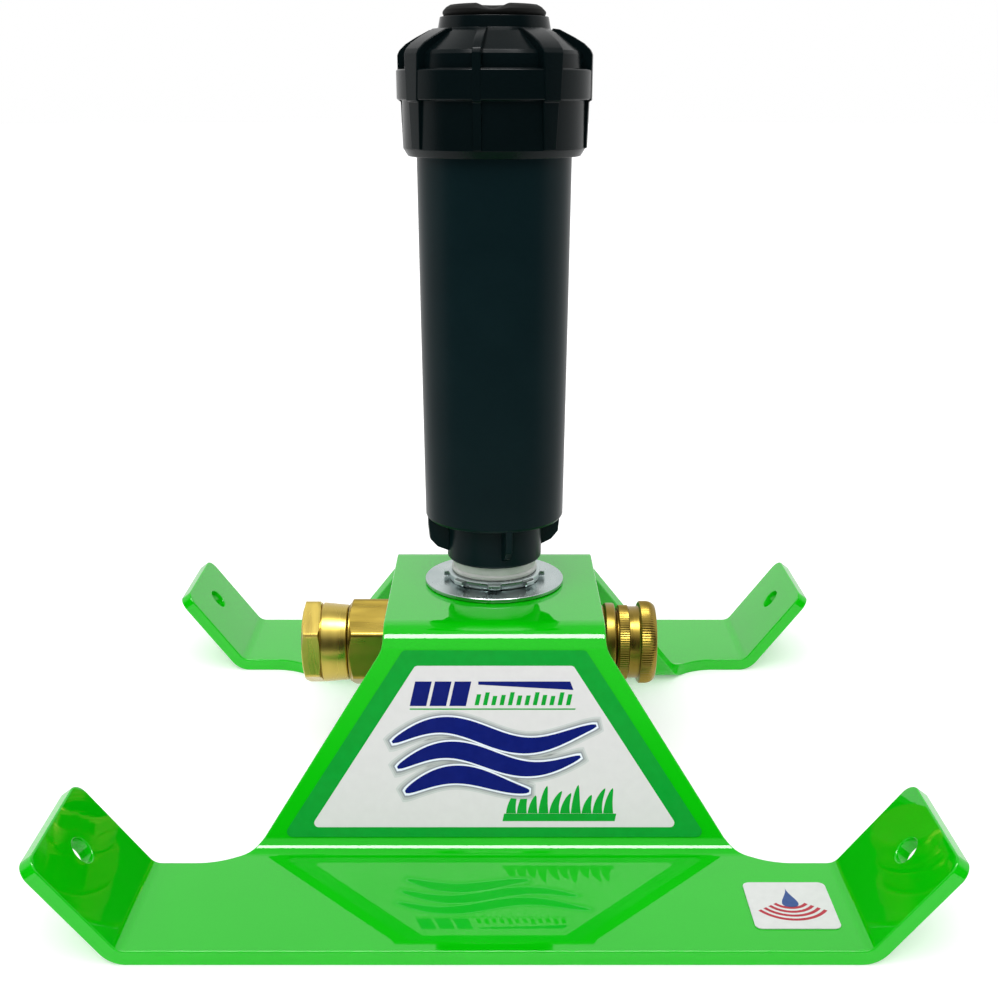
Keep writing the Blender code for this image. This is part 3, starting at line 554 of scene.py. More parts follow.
# ---- sled ----
class SledFold:
    """Maps the flat blank (x, s, t) to the bent plate. t is the height over the middle surface."""

    def __init__(self):
        half = PLATE / 2
        self.top_radius = TOP_BEND_OUTER - half
        self.foot_radius = FOOT_BEND_INNER + half
        self.tab_radius = TAB_BEND_INNER + half
        self.top_middle = SLED_HEIGHT - half
        self.top_end = TOP_FLAT_HALF + self.top_radius * LEG_FALL
        self.leg_y = TOP_FLAT_HALF + self.top_radius * LEG_SIN
        self.leg_z = self.top_middle - self.top_radius * (1 - LEG_COS)
        foot_z = half + self.foot_radius * (1 - LEG_COS)
        leg_length = (self.leg_z - foot_z) / LEG_SIN
        self.foot_start = self.top_end + leg_length
        self.foot_end = self.foot_start + self.foot_radius * LEG_FALL
        self.foot_y = self.leg_y + leg_length * LEG_COS + self.foot_radius * LEG_SIN
        self.edge = self.foot_end + SLED_HALF_DEPTH - self.foot_y
        self.tab_end = TAB_BEND_START + self.tab_radius * TAB_RISE
        self.tip = self.tab_end + TAB_FLAT

    def across(self, s, t):
        """Y and Z of a point at arc length s from the middle of the top plate."""
        half = PLATE / 2
        if s <= TOP_FLAT_HALF:
            return s, self.top_middle + t
        if s <= self.top_end:
            angle = (s - TOP_FLAT_HALF) / self.top_radius
            reach = self.top_radius + t
            low = self.top_middle - self.top_radius
            return TOP_FLAT_HALF + reach * math.sin(angle), low + reach * math.cos(angle)
        if s <= self.foot_start:
            run = s - self.top_end
            y, z = self.leg_y + run * LEG_COS, self.leg_z - run * LEG_SIN
            return y + t * LEG_SIN, z + t * LEG_COS
        if s <= self.foot_end:
            angle = (self.foot_end - s) / self.foot_radius
            reach = self.foot_radius - t
            high = half + self.foot_radius
            return self.foot_y - reach * math.sin(angle), high - reach * math.cos(angle)
        return self.foot_y + s - self.foot_end, half + t

    def point(self, x, s, t):
        side_x, side_y = math.copysign(1, x), math.copysign(1, s)
        y, z = self.across(abs(s), t)
        x = abs(x)
        if x > TAB_BEND_START:
            sin, cos = math.sin(TAB_RISE), math.cos(TAB_RISE)
            angle = min(x - TAB_BEND_START, self.tab_end - TAB_BEND_START) / self.tab_radius
            run = max(0.0, x - self.tab_end)
            reach = self.tab_radius - t
            z = PLATE / 2 + self.tab_radius - reach * math.cos(angle) + run * sin
            x = TAB_BEND_START + reach * math.sin(angle) + run * cos
        return side_x * x, side_y * y, z

    def lines(self):
        """The fold lines as (axis, position), with one more just outside each bend."""
        zones = (
            (1, TOP_FLAT_HALF, self.top_end),
            (1, self.foot_start, self.foot_end),
            (0, TAB_BEND_START, self.tab_end),
        )
        margin = 0.4
        for axis, start, end in zones:
            places = [start + (end - start) * step / BEND_STEPS for step in range(BEND_STEPS + 1)]
            for place in places + [start - margin, end + margin]:
                yield axis, place
                yield axis, -place


FOLD = SledFold()


def sled_blank():
    """Corners of the flat blank: a quarter, mirrored to a half, turned round to the whole."""
    wing = FOLD.foot_end + WING_SETBACK
    flare_end = WAIST_HALF + FLARE * (wing - FOLD.top_end)
    quarter = [
        (WAIST_HALF, FOLD.top_end, WAIST_FILLET),
        (flare_end, wing, WING_FILLET),
        (FOLD.tip, wing, TAB_CORNER),
        (FOLD.tip, FOLD.edge, TAB_CORNER),
    ]
    half = quarter + [(-x, s, r) for x, s, r in reversed(quarter)]
    return half + [(-x, -s, r) for x, s, r in half]


def build_sled():
    """The blank with rounded edges, cut along its fold lines and then bent."""
    hole_x = FOLD.tip - TAB_HOLE_FROM_END
    hole_s = (FOLD.foot_end + WING_SETBACK + FOLD.edge) / 2
    outlines = [rounded(sled_blank(), 14), circle((0, ROTOR_Y), NIPPLE_HOLE_R, 72)]
    for side_x in (-1, 1):
        for side_y in (-1, 1):
            outlines.append(circle((side_x * hole_x, side_y * hole_s), TAB_HOLE_R, 40))
    work = round_edged_plate(outlines, PLATE, PLATE_EDGE)
    for axis, place in FOLD.lines():
        normal = Vector((1, 0, 0)) if axis == 0 else Vector((0, 1, 0))
        bmesh.ops.bisect_plane(
            work, geom=[*work.verts, *work.edges, *work.faces],
            plane_co=normal * place, plane_no=normal, dist=1e-5,
        )
    for vert in work.verts:
        vert.co = FOLD.point(*vert.co)
    mesh = mesh_from(work, "sled")
    add_piece("sled", mesh, PAINT, "green_powder_coat", ["sled_frame"], flats=True)


# ---- printed label and sticker ----
def on_leg(lift):
    """Place on the front leg's outer face at the label's lower edge: X along X, Y up the leg."""
    y, z = FOLD.across(FOLD.top_end + LABEL_LOW_RUN, PLATE / 2 + lift)
    return Matrix.Translation((0, -y * MM, z * MM)) @ Matrix.Rotation(LEG_FALL, 4, "X")


def trapezoid(low_half, high_half, low, high, radius, steps=10):
    """A symmetrical four-sided outline with rounded corners."""
    corners = ((-low_half, low), (low_half, low), (high_half, high), (-high_half, high))
    return rounded([(x, y, radius) for x, y in corners], steps)


def printed(name, outlines, low, high, place, material, slot, replaced=()):
    """Flat shapes of one ink, each its own outline, between two heights over the surface."""
    work = bmesh.new()
    for outline in outlines:
        shape = to_mesh(slab([outline], low, high), "shape")
        work.from_mesh(shape)
        bpy.data.meshes.remove(shape)
    add_piece(name, mesh_from(work, name, place), material, slot, replaced, crease=32)


def ribbon(path, width, start=0.0, end=1.0, steps=48):
    """Outline round a curved centre line whose width changes along it."""
    left, right = [], []
    for step in range(steps + 1):
        t = start + (end - start) * step / steps
        here, ahead = Vector(path(t)), Vector(path(t + 0.001))
        along = (ahead - here).normalized()
        side = Vector((-along.y, along.x)) * width(step / steps) / 2
        left.append(tuple(here + side))
        right.append(tuple(here - side))
    return left + right[::-1]


def drop(height, radius, steps=40):
    """A water drop round a height: round below, drawn out to a point above."""
    outline = []
    for step in range(steps):
        angle = TAU * step / steps
        pull = math.sin(angle / 2) ** 3
        outline.append((
            radius * math.sin(angle) * pull * 1.15, height + radius * math.cos(angle) * 1.45
        ))
    return outline


def waves(extra):
    """Three nested bold waves, each drawn larger by extra all round for rims and shadows."""
    def width(t):
        return 0.9 + 6.6 * math.sin(math.pi * t) ** 0.6 * (1 - 0.25 * t) + 2 * extra

    shapes = []
    for start, length, height, rise in WAVES:
        def path(t, start=start, length=length, height=height, rise=rise):
            swell = math.sin(TAU * (1.05 * t * length / 70 - 0.03))
            return start + length * t, height + 5.2 * swell * (1 - 0.3 * t) + rise * t

        shapes.append(ribbon(path, width, -extra / length, 1 + extra / length))
    return shapes


def build_label():
    """Green border, white field, and three waves between bars and grass in navy and green."""
    edge = trapezoid(78.4, 34.3, 0, LABEL_HEIGHT, 2)
    field = trapezoid(68.0, 29.6, 3.6, 63.7, 1.6)
    base = on_leg(LABEL_LIFT)
    slot = "label_print"
    printed("label_border", [edge], 0, 0.22, base, LABEL_GREEN, slot, ["front_label"])
    printed("label_field", [field], 0.20, INK_BASE, base, LABEL_WHITE, slot)

    shadows = (
        (2.3, 0.27, (0.53, 0.55, 0.55)),
        (1.7, 0.29, (0.41, 0.43, 0.43)),
        (1.1, 0.31, (0.27, 0.29, 0.31)),
    )
    for index, (extra, height, shade) in enumerate(shadows):
        ink = vinyl(f"shadow_{index}", shade, tuple(1.06 * c for c in shade), 0.22)
        printed(f"wave_shadow_{index}", waves(extra), height - 0.02, height, base, ink, slot)
    printed("wave_rim", waves(0.6), 0.31, 0.33, base, PRINT_RIM, slot)
    printed("wave", waves(0), 0.33, 0.35, base, PRINT_NAVY, slot)

    def slanted(left, right, low, high):
        lean = BAR_LEAN * (high - low)
        return [(left, low), (right, low), (right + lean, high), (left + lean, high)]

    bars = [slanted(-31.6 + 7.4 * n, -25.4 + 7.4 * n, 48.6, 57.8) for n in range(3)]
    bars.append([(-6.0, 57.8), (-6.0, 56.6), (29.6, 54.6), (28.4, 57.8)])
    printed("label_bars", bars, INK_BASE, INK_TOP, base, PRINT_NAVY, slot)

    green = [slanted(-31.6, 30.2, 47.2, 47.7)]
    for tick in range(12):
        top = 53.0 + 0.8 * math.sin(2 * tick)
        green.append(slanted(-7.4 + 3.1 * tick, -5.8 + 3.1 * tick, 48.9, top))
    green.append(slanted(3.0, 44.6, 5.8, 8.6))
    blades = 10
    for index in range(blades):
        foot = 6.2 + 36 * index / (blades - 1)
        height = 8.6 + 2.0 * math.sin(2.4 * index)
        lean = 2.0 + 1.0 * math.sin(1.7 * index + 0.6)

        def blade(t, foot=foot, height=height, lean=lean):
            return foot + lean * t * t, 8.65 + height * t

        green.append(ribbon(blade, lambda t: 3.6 * (1 - t) ** 0.6 + 0.15, steps=16))
    printed("label_grass", green, INK_BASE, INK_TOP, base, PRINT_GREEN, slot)


def build_sticker():
    """A small white square with a blue drop over red arcs."""
    low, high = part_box("runner_sticker")
    half = (high[0] - low[0]) / MM / 2
    centre = Matrix.Translation(((low[0] + high[0]) / 2, (low[1] + high[1]) / 2, low[2]))
    slot = "sticker_print"
    film, ink = 0.28, 0.31
    drop_height = 4.6
    sheet = trapezoid(half, half, -half, half, 2.5, 8)
    printed("sticker", [sheet], 0, film, centre, STICKER_WHITE, slot, ["runner_sticker"])
    printed("sticker_drop", [drop(drop_height, 4.3)], film, ink, centre, PRINT_BLUE, slot)
    arcs = []
    for radius in (6.6, 9.0, 11.4, 13.8):
        def bow(t, radius=radius):
            angle = math.radians(-145 + 110 * t)
            return radius * math.cos(angle), drop_height + radius * math.sin(angle)

        arcs.append(ribbon(bow, lambda t: 1.3, steps=24))
    printed("sticker_arcs", arcs, film, ink, centre, PRINT_RED, slot)


# ---- plate clamp ----
def build_plate_clamp():
    """The zinc washer and ring nut on the plate, and the pipe nipple through them."""
    lathe(
        "washer",
        [(NIPPLE_HOLE_R, 77.6), (28, 77.6), (28.2, 77.9), (28.2, 79), (27.9, 79.3),
         (NIPPLE_HOLE_R, 79.3)],
        ZINC, "zinc_plate", ["flat_washer"], edge=0.3, steps=144,
    )
    lug_half = math.radians(7.6)
    lugs = 8

    def lugged(body, tip):
        def radius(angle):
            inside = lug_half - off_centre(angle, lugs)
            share = min(1.0, max(0.0, inside / math.radians(1.6) + 0.5))
            return body + (tip - body) * share

        return radius

    stations = [
        (17.05, 82.9), (18.1, 82.9), (18.4, 82.75), (18.6, 82.4),
        (lugged(18.7, 19.9), 82.3), (lugged(18.75, 20.5), 82.15), (lugged(18.8, 20.7), 81.8),
        (lugged(18.8, 20.7), 80.7), (lugged(18.7, 20.5), 80.4), (lugged(18.65, 20), 80.25),
        (18.6, 80.2), (18.6, 79.8), (18.4, 79.6), (17.05, 79.6),
    ]
    turned(
        "lugged_locknut", stations, 360, ZINC, "zinc_plate", ["locknut"], place=ON_ROTOR, crease=28
    )
    low_thread = thread(16.7, 16.1, 58.0, 76.0)
    high_thread = thread(16.7, 16.1, 90.0, 101.0)
    bead = [(16.7, 85), (17.15, 84.7), (17.35, 84.2), (17.35, 83.6), (17.2, 83.15), (16.8, 83.05)]
    stations = [(13, 101.6), (16.3, 101.6)] + high_thread[::-1] + bead + low_thread[::-1]
    stations += [(16.3, 57.2), (13, 57.2)]
    turned("nipple", stations, 96, PIPE, "grey_pipe", ["pipe_nipple"], place=ON_ROTOR, crease=50)


# ---- brass fittings ----
def build_tee():
    """A casting, so the shapes melt together: joined, remeshed and eased."""
    def solid(profile, place, name):
        return mesh_from(revolve(soften(profile, 0.5), 64), name, place)

    run = solid(
        [(0, -39), (18.2, -39), (18.6, -38.5), (18.6, -28), (17.2, -27),
         (17.2, 27), (18.6, 28), (18.6, 38.5), (18.2, 39), (0, 39)],
        ON_FITTINGS, "tee",
    )
    branch = solid([(0, 50.2), (20.8, 50.2), (20.8, 71.3), (0, 71.3)], ON_ROTOR, "branch")
    cuts = [
        solid([(0, 56.8), (16.95, 56.8), (16.95, 80), (0, 80)], ON_ROTOR, "socket"),
        solid(
            [(0, -50), (13.6, -50), (13.6, -24), (11.5, -24), (11.5, 24), (13.6, 24), (13.6, 50),
             (0, 50)],
            ON_FITTINGS, "flow",
        ),
        solid([(0, 50), (12.2, 50), (12.2, 60), (0, 60)], ON_ROTOR, "drop"),
    ]
    joined = combined("tee", run, [branch], "UNION")
    mesh = combined("tee", joined, cuts, "DIFFERENCE")
    holder = link_object("tee", mesh)
    remesh = holder.modifiers.new("Cast", "REMESH")
    remesh.mode = "VOXEL"
    remesh.voxel_size = 0.8 * MM
    ease = holder.modifiers.new("Ease", "SMOOTH")
    ease.factor = 0.5
    ease.iterations = 3
    cast = applied(holder)
    cast.name = "tee"
    add_piece("tee", cast, CAST_BRASS, "brass", ["pipe_tee"])


def build_inlet():
    """The hexagonal adapter, the swivel nut on its tail and the rubber washer in the nut."""
    flats = hexagon(19.3, 0.35)
    stations = [(8.2, -24.4), (12.9, -24.4), (13.3, -24.9), (13.3, -39.3), (16.1, -39.4),
                (16.4, -39.7), (16.4, -41.4), (no_more(flats, 16.9), -41.5)]
    stations += chamfer(flats, 16.9, 2.1, -41.6, -1.1, 6, 1)
    stations += [(flats, -43.2), (flats, -50.0), (flats, -57.8)]
    stations += chamfer(flats, 19.0, -2.1, -58.1, -1.1, 6)
    stations += [(16.4, -59.35), (16.4, -59.7), (16.2, -59.9), (10.4, -60), (10.2, -60.2),
                 (10.2, -65.1), (10.4, -65.3), (12.7, -65.4), (12.9, -65.6), (12.9, -66.8),
                 (12.7, -67), (8.4, -67), (8.2, -66.8)]
    turned("inlet_fitting", stations, 240, BRASS, "brass", ["inlet_adapter"], crease=24)

    rim = hexagon(18.2, 0.3)
    stations = [(10.6, -60.4), (15.2, -60.4), (15.4, -60.5), (15.7, -60.9), (16.57, -70.5),
                (16.5, -70.8), (15.5, -71.1), (15.3, -71.25), (15.35, -71.4),
                (no_more(rim, 15.8), -71.45)]
    stations += chamfer(rim, 16.6, 1.4, -71.5, -0.5, 4)
    stations += [(rim, -72.3), (rim, -77.7)]
    stations += chamfer(rim, 17.9, -1.9, -77.9, -0.6, 5)
    stations += [(15.3, -78.55), (15.2, -78.8), (15, -78.9), (14.1, -78.9), (13.8, -78.6)]
    stations += thread(13.8, 14.6, -78.3, -65.2)
    stations += [(13.8, -64.5), (13.6, -64.4), (10.8, -64.2), (10.6, -64)]
    turned(
        "swivel_collar", stations, 240, TURNED_BRASS, "brass", ["swivel_nut"], "swivel_nut_body",
        crease=24,
    )
    lathe(
        "inlet_washer",
        [(8.4, -67.4), (13.3, -67.4), (13.3, -70.2), (8.4, -70.2)],
        RUBBER, "black_rubber", ["swivel_washer"], place=ON_FITTINGS,
    )


def build_outlet():
    """The collar with its male hose thread, the knurled cap on it and the cap's rubber disc."""
    stations = [(8.6, 24.4), (13, 24.4), (13.3, 24.8), (13.3, 39.4), (15, 39.5), (15.2, 39.8),
                (15.2, 44.9), (15.3, 45.2), (16, 45.6), (16.35, 46.1), (16.4, 46.5),
                (16.4, 48.9), (16.3, 49.4), (16, 49.75), (15.7, 49.85), (13.6, 50),
                (12.7, 50.5)]
    stations += thread(13.45, 12.7, 50.9, 60.8)
    stations += [(12.9, 61.2), (12.6, 61.4), (8.9, 61.4), (8.6, 61.1)]
    turned("outlet_fitting", stations, 144, AGED_BRASS, "brass", ["outlet_adapter"], crease=24)

    teeth = 100
    ridge, fine = knurl(17.2, teeth, 0.20), knurl(15.5, teeth, 0.16)
    stations = [(13.8, 51.2), (15, 51.2), (15.15, 51.35), (fine, 51.6), (fine, 55.3),
                (15.05, 55.6), (15, 55.9), (15, 59.5), (15.2, 59.8), (16.5, 59.9),
                (16.9, 60.1), (ridge, 60.4), (ridge, 63.4), (knurl(17.0, teeth, 0.20), 64.4),
                (knurl(16.6, teeth, 0.18), 65.3), (16.1, 66), (15.8, 66.4), (15.4, 66.6),
                (14.6, 66.4), (13.9, 66.35), (0, 66.35), (0, 64), (13.5, 64), (13.8, 63.7)]
    stations += thread(13.8, 14.4, 63.0, 52.0)
    turned(
        "outlet_cap", stations, 4 * teeth, AGED_BRASS, "brass", ["hose_cap"], "hose_cap_body",
        crease=24,
    )
    lathe(
        "cap_seal",
        [(0, 61.8), (13.2, 61.8), (13.2, 63.6), (0, 63.6)],
        RUBBER, "black_rubber", ["cap_washer"], "cap_washer_body", place=ON_FITTINGS,
    )


# ---- rotor case and cap ----
def radial_rib(profile, half_width, top_half_width):
    """A rib in the plane through the axis, from (radius, height) points, its edges eased."""
    work = slab([profile], -half_width, half_width)
    bmesh.ops.recalc_face_normals(work, faces=work.faces)
    bmesh.ops.dissolve_limit(work, angle_limit=math.radians(1), verts=work.verts, edges=work.edges)
    limit = math.radians(20)
    sharp = [
        edge for edge in work.edges if len(edge.link_faces) == 2 and edge.calc_face_angle() > limit
    ]
    bmesh.ops.bevel(
        work, geom=sharp, offset=RIB_EASE, segments=2, profile=0.5, affect="EDGES",
        clamp_overlap=True,
    )
    bmesh.ops.rotate(work, matrix=Matrix.Rotation(TAU / 4, 3, "X"), verts=work.verts)
    low = min(height for _, height in profile)
    high = max(height for _, height in profile)
    for vert in work.verts:
        share = (vert.co.z - low) / (high - low)
        vert.co.y *= 1 + (top_half_width / half_width - 1) * share
    return mesh_from(work, "rib")


def build_case():
    profile = [
        (25.6, 262), (29.6, 262), (30.2, 261.4), (30.2, 246), (28.1, 243.6), (28.1, 238.3),
        (27.9, 189), (27.4, 106.7), (26.6, 105.6), (19, 104.6), (19, 89.5), (18.5, 88.5),
        (17, 88.5), (17, 102), (12.5, 102), (12.5, 108.6), (25.2, 108.6),
    ]
    shell = mesh_from(revolve(soften(profile, 0.6), 128), "case", ON_ROTOR)
    gusset = radial_rib(
        [(18.2, 91.5), (23.6, 93.9), (26.4, 97.1), (27, 103), (27.1, 107.6), (18.2, 107.6)],
        1.25, 1.25,
    )
    gussets = copies_round(gusset, 4, math.radians(12.5) - TAU / 4, ON_ROTOR)
    mesh = combined("case", shell, [gussets], "UNION")
    add_piece("case", mesh, BLACK, "black_plastic", ["rotor_case"], crease=30, flats=True)


def build_cap():
    profile = [
        (18.4, 284.6), (19, 284.6), (19.4, 282.7), (19.8, 280.7), (22.9, 279.4), (30.8, 273.8),
        (31.5, 272.6), (31.8, 268), (34.3, 268), (34.76, 267.5), (34.76, 258.6), (34.4, 258.2),
        (32.9, 258.2), (32.9, 242.3), (31.2, 239.7), (30.6, 239.7), (30.6, 264.8), (26.5, 264.8),
        (26.5, 268), (21.5, 277.6), (18.4, 278.6),
    ]
    shell = mesh_from(revolve(soften(profile, 0.5), 144), "cap", ON_ROTOR)
    outer = [
        (20.6, 278.9), (20.6, 280.9), (23.1, 280.6), (28.2, 278.2), (31.8, 276.2), (34.1, 274.2),
        (34.9, 272.7), (34.95, 258), (34, 257.6), (33.6, 242.4), (31.2, 242.4), (31.2, 268),
    ]
    first = math.radians(-10) - TAU / 4
    slim = copies_round(radial_rib(outer, 1.5, 1.5), 4, first, ON_ROTOR)
    wide = copies_round(radial_rib(outer, 2.6, 4.6), 4, first + TAU / 8, ON_ROTOR)
    mesh = combined("cap", shell, [slim, wide], "UNION")
    # The cap wears the darker copy of the black plastic: painted shade.
    add_piece("cap", mesh, CAP_BLACK_PAINTED_SHADE, "black_plastic", ["rotor_cap"], crease=30, flats=True)


# ---- riser, turret and spring ----
def build_riser():
    lathe(
        "riser_tube",
        [(12.4, 249), (17.2, 249), (17.5, 248.6), (17.5, 116.3), (24.8, 116.3), (24.8, 112.4),
         (24.2, 111.8), (16.1, 111.8), (16.1, 241), (12.4, 241)],
        TURRET_BLACK, "black_plastic", ["riser"], "riser_body", steps=128,
    )


def build_turret():
    """The head with its nozzle channel and screw holes, and the nozzle in it."""
    profile = [(0, 283.8), (16.9, 283.8), (17.5, 283.2), (17.5, 250.8), (16, 250.8),
               (16, 258.6), (7.4, 258.6), (7.4, 260), (0, 260)]
    shell = mesh_from(revolve(soften(profile, 0.4), 128), "turret_head", ON_ROTOR)

    def bore(radius, low, high, place):
        profile = [(0, low), (radius, low), (radius, high), (0, high)]
        return mesh_from(revolve(profile, 40), "bore", place)

    cuts = [
        bore(5.3, -2, 26, ALONG_NOZZLE),
        bore(1.6, 268, 290, ON_RADIUS_SCREW),
        bore(2.0, 240, 290, ON_ARC_SCREW),
    ]
    mesh = combined("turret_head", shell, cuts, "DIFFERENCE")
    add_piece(
        "turret_head", mesh, TURRET_BLACK, "black_plastic", ["turret"], "turret_body",
        crease=30, flats=True,
    )
    lathe(
        "nozzle_insert",
        [(4.2, 5.6), (5, 5.6), (5, 13.4), (2.3, 13.4), (2.3, 11.4)],
        NOZZLE_BLUE, "nozzle_plastic", ["nozzle"], "turret_body",
        place=ALONG_NOZZLE, edge=0.3, steps=72,
    )


def build_turret_cover():
    """A soft disc with a raised rim, dished at four places for a fingertip."""
    scallops, half_width, depth = 4, 6.0, 1.85
    flat_radius, flat_height = 11.0, 286.0  # nothing inside or under these is dished
    profile = [(0, 287.6), (6, 287.7), (11.4, 287.9), (12.6, 288.15), (14.3, 288.4),
               (16, 288.2), (17.3, 287.5), (18, 286.7), (18.1, 285.6), (17.4, 284.2),
               (0, 284.2)]
    work = revolve(soften(profile, 0.8, 4), 192)
    bmesh.ops.remove_doubles(work, verts=work.verts, dist=MERGE)
    first = math.radians(-92)
    for vert in work.verts:
        radius = math.hypot(vert.co.x, vert.co.y)
        if radius < flat_radius or vert.co.z < flat_height:
            continue
        angle = math.atan2(vert.co.y, vert.co.x) - first
        aside = off_centre(angle, scallops) * radius / half_width
        if aside < 1:
            outward = min(1.0, (radius - flat_radius) / 2.5)
            dish = depth * outward * math.cos(aside * TAU / 4) ** 1.5
            vert.co.z -= dish * (vert.co.z - flat_height) / 2.4
    mesh = mesh_from(work, "rubber_cover", ON_ROTOR)
    add_piece("rubber_cover", mesh, RUBBER, "black_rubber", ["turret_cover"], "turret_body")


def build_spring():
    """A stainless helix, flat at both ends; it keeps one length, though the real one closes up as the
    riser rises.
    """
    low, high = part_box("retraction_spring")
    flat_share, per_turn = 0.75, 28
    total = SPRING_TURNS + 2 * flat_share
    bottom = low[2] / MM + SPRING_WIRE_R - DATUM
    height = high[2] - low[2]
    length = height / MM - 2 * SPRING_WIRE_R
    flat_rise = 2 * SPRING_WIRE_R * flat_share + 0.25
    curve = bpy.data.curves.new("spring", "CURVE")
    curve.dimensions = "3D"
    curve.bevel_depth = SPRING_WIRE_R * MM
    curve.bevel_resolution = 3
    curve.use_fill_caps = True
    count = int(total * per_turn)
    spline = curve.splines.new("POLY")
    spline.points.add(count)
    for index, point in enumerate(spline.points):
        turn = index / per_turn
        if turn < flat_share:
            rise = flat_rise * turn / flat_share
        elif turn > total - flat_share:
            rise = length - flat_rise * (total - turn) / flat_share
        else:
            rise = flat_rise + (length - 2 * flat_rise) * (turn - flat_share) / SPRING_TURNS
        spot = Vector((SPRING_MEAN_R * math.cos(TAU * turn), SPRING_MEAN_R * math.sin(TAU * turn),
                       bottom + rise)) * MM
        point.co = (*(ON_ROTOR @ spot), 1)
    mesh = applied(link_object("spring", curve))
    work = bmesh.new()
    work.from_mesh(mesh)
    bmesh.ops.remove_doubles(work, verts=work.verts, dist=1e-6)
    work.to_mesh(mesh)
    work.free()
    piece = add_piece("spring", mesh, STEEL, "stainless_steel", ["retraction_spring"])
    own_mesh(piece)


def build_jet_screw():
    """The screw over the nozzle, with a driver slot in its head."""
    profile = [(0, 283.2), (1.3, 283.2), (1.3, 276.6), (0.6, 275.8), (0, 275.8)]
    mesh = mesh_from(revolve(soften(profile, 0.15), 40), "jet_screw", ON_RADIUS_SCREW)
    slot_work = bmesh.new()
    bmesh.ops.create_cube(slot_work, size=1.0)
    bmesh.ops.scale(slot_work, vec=(4.0, 0.5, 1.6), verts=slot_work.verts)
    bmesh.ops.translate(slot_work, vec=(0, 0, 283.2), verts=slot_work.verts)
    driver_slot = mesh_from(slot_work, "driver_slot", ON_RADIUS_SCREW)
    mesh = combined("jet_screw", mesh, [driver_slot], "DIFFERENCE")
    add_piece(
        "jet_screw", mesh, STEEL, "stainless_steel", ["radius_screw"], "radius_screw_body",
        crease=30,
    )


# CAD nodes that are sealed inside the rotor and keep their shape
INNER = {
    RUBBER: ["riser_seal", "shaft_o_ring", "check_seal"],
    GREY: ["seal_retainer", "ratchet_ring", "gearbox_housing", "gearbox_cover"],
    ACETAL: ["shaft_bushing", "thrust_washer", "filter_screen", "stator", "turbine", "idler_gear_1",
             "idler_gear_2", "idler_gear_3", "output_gear", "output_shaft", "arc_ring"],
    STEEL: ["main_axle", "lay_axle", "turbine_pinion", "arc_screw"],
}


def finish_inner_nodes():
    for material, names in INNER.items():
        for name in names:
            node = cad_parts[name]
            keep_creases(node.data, 35)
            if not node.material_slots:
                node.data.materials.append(material)
            for slot in node.material_slots:
                slot.material = material


# ---- stage ----
def build_floor():
    """White paper: a sheet under the object, and more of it around that shows in no reflection."""
    paper = Finish("floor_paper", 0.85, 0.0, 0.1)
    paper.colour(paper.noise(3), (0.86, 0.86, 0.86), (0.87, 0.87, 0.87))
    paper.set("Emission Color", (1, 1, 1, 1))
    paper.set("Emission Strength", 0.25)
    sheet, reach = 0.45, 12.0
    for name, outlines in (
        ("floor_sheet", [circle((0, 0), sheet, 64)]),
        ("floor_around", [circle((0, 0), reach, 64), circle((0, 0), sheet, 64)]),
    ):
        work = slab(outlines, 0, 0)
        bmesh.ops.recalc_face_normals(work, faces=work.faces)
        floor = link_object(name, to_mesh(work, name))
        floor.data.materials.append(paper.material)
        floor.visible_glossy = name == "floor_sheet"


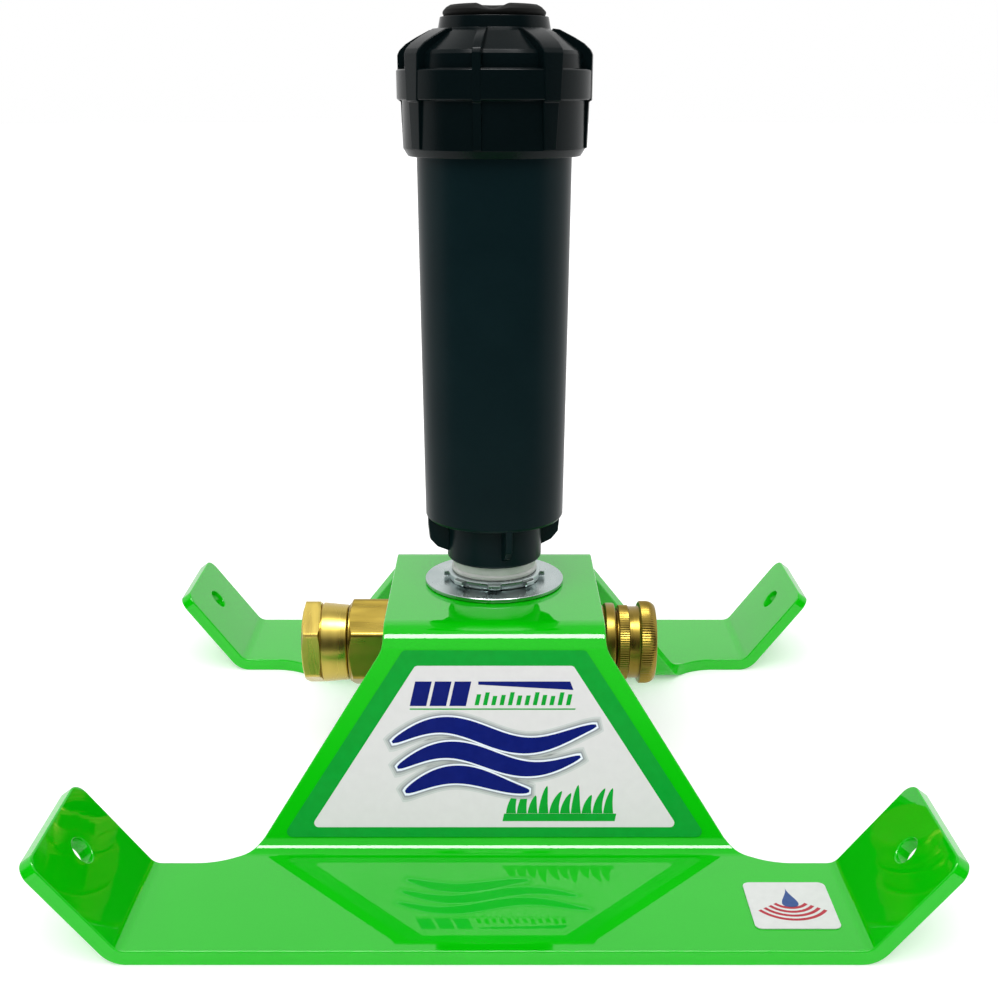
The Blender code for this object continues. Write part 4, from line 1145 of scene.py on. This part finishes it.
def build_world():
    """White to the eye. For light and reflections it is a white room with a dark front wall."""
    world = bpy.data.worlds.new("studio")
    bpy.context.scene.world = world
    world.use_nodes = True
    tree = world.node_tree
    background = tree.nodes["Background"]
    split = tree.nodes.new("ShaderNodeSeparateXYZ")
    tree.links.new(tree.nodes.new("ShaderNodeTexCoord").outputs["Generated"], split.inputs[0])

    def ramp(output, start, end, low, high):
        node = new_node(tree, "MapRange", From_Min=start, From_Max=end, To_Min=low, To_Max=high)
        node.interpolation_type = "SMOOTHSTEP"
        tree.links.new(output, node.inputs["Value"])
        return node.outputs["Result"]

    def mix(share, first, second):
        node = tree.nodes.new("ShaderNodeMix")
        tree.links.new(share, node.inputs["Factor"])
        for socket, value in (("A", first), ("B", second)):
            if isinstance(value, float):
                node.inputs[socket].default_value = value
            else:
                tree.links.new(value, node.inputs[socket])
        return node.outputs["Result"]

    height = split.outputs["Z"]
    back = ramp(height, 0.74, 0.88, 1.0, 0.55)
    front = tree.nodes.new("ShaderNodeMath")
    front.operation = "MAXIMUM"
    tree.links.new(ramp(height, -0.50, -0.36, 1.0, 0.04), front.inputs[0])
    tree.links.new(ramp(height, 0.50, 0.64, 0.04, 0.70), front.inputs[1])
    room = mix(ramp(split.outputs["Y"], -0.35, 0.0, 1.0, 0.0), back, front.outputs[0])
    seen = tree.nodes.new("ShaderNodeLightPath").outputs["Is Camera Ray"]
    tree.links.new(mix(seen, room, 1.0), background.inputs["Strength"])
    background.inputs["Color"].default_value = (1.0, 1.0, 1.0, 1)


def add_light(name, kind, place, target, energy, **facts):
    data = bpy.data.lights.new(name, kind)
    data.energy = energy
    for fact, value in facts.items():
        setattr(data, fact, value)
    light = link_object(name, data)
    light.location = place
    light.rotation_euler = (Vector(target) - Vector(place)).to_track_quat("-Z", "Y").to_euler()
    return light


def build_lights():
    target = (0, 0, 0.10)
    sky = add_light("soft_sky", "SUN", (-0.3, -1.6, 2.0), target, 2.15, angle=math.radians(70))
    sky.visible_glossy = False
    strip = add_light(
        "strip", "AREA", (0, -0.325, 1.42), target, 22.0, shape="RECTANGLE", size=1.0, size_y=0.36
    )
    strip.visible_diffuse = False


def build_camera():
    """In front and above, with the lens shifted to frame the object."""
    data = bpy.data.cameras.new("camera")
    data.lens = 48.90
    data.sensor_width = 36
    data.shift_x = 0.0047
    data.shift_y = 0.200
    camera = link_object("camera", data)
    camera.location = (0, -0.5233, 0.2625)
    camera.rotation_euler = (math.radians(90 - CAMERA_TILT_DOWN), 0, 0)
    bpy.context.scene.camera = camera


build_camera()
build_sled()
build_label()
build_sticker()
build_plate_clamp()
build_tee()
build_inlet()
build_outlet()
build_case()
build_cap()
build_riser()
build_turret()
build_turret_cover()
build_spring()
build_jet_screw()
finish_inner_nodes()
build_floor()
build_world()
build_lights()
bpy.context.scene.view_settings.view_transform = "Standard"
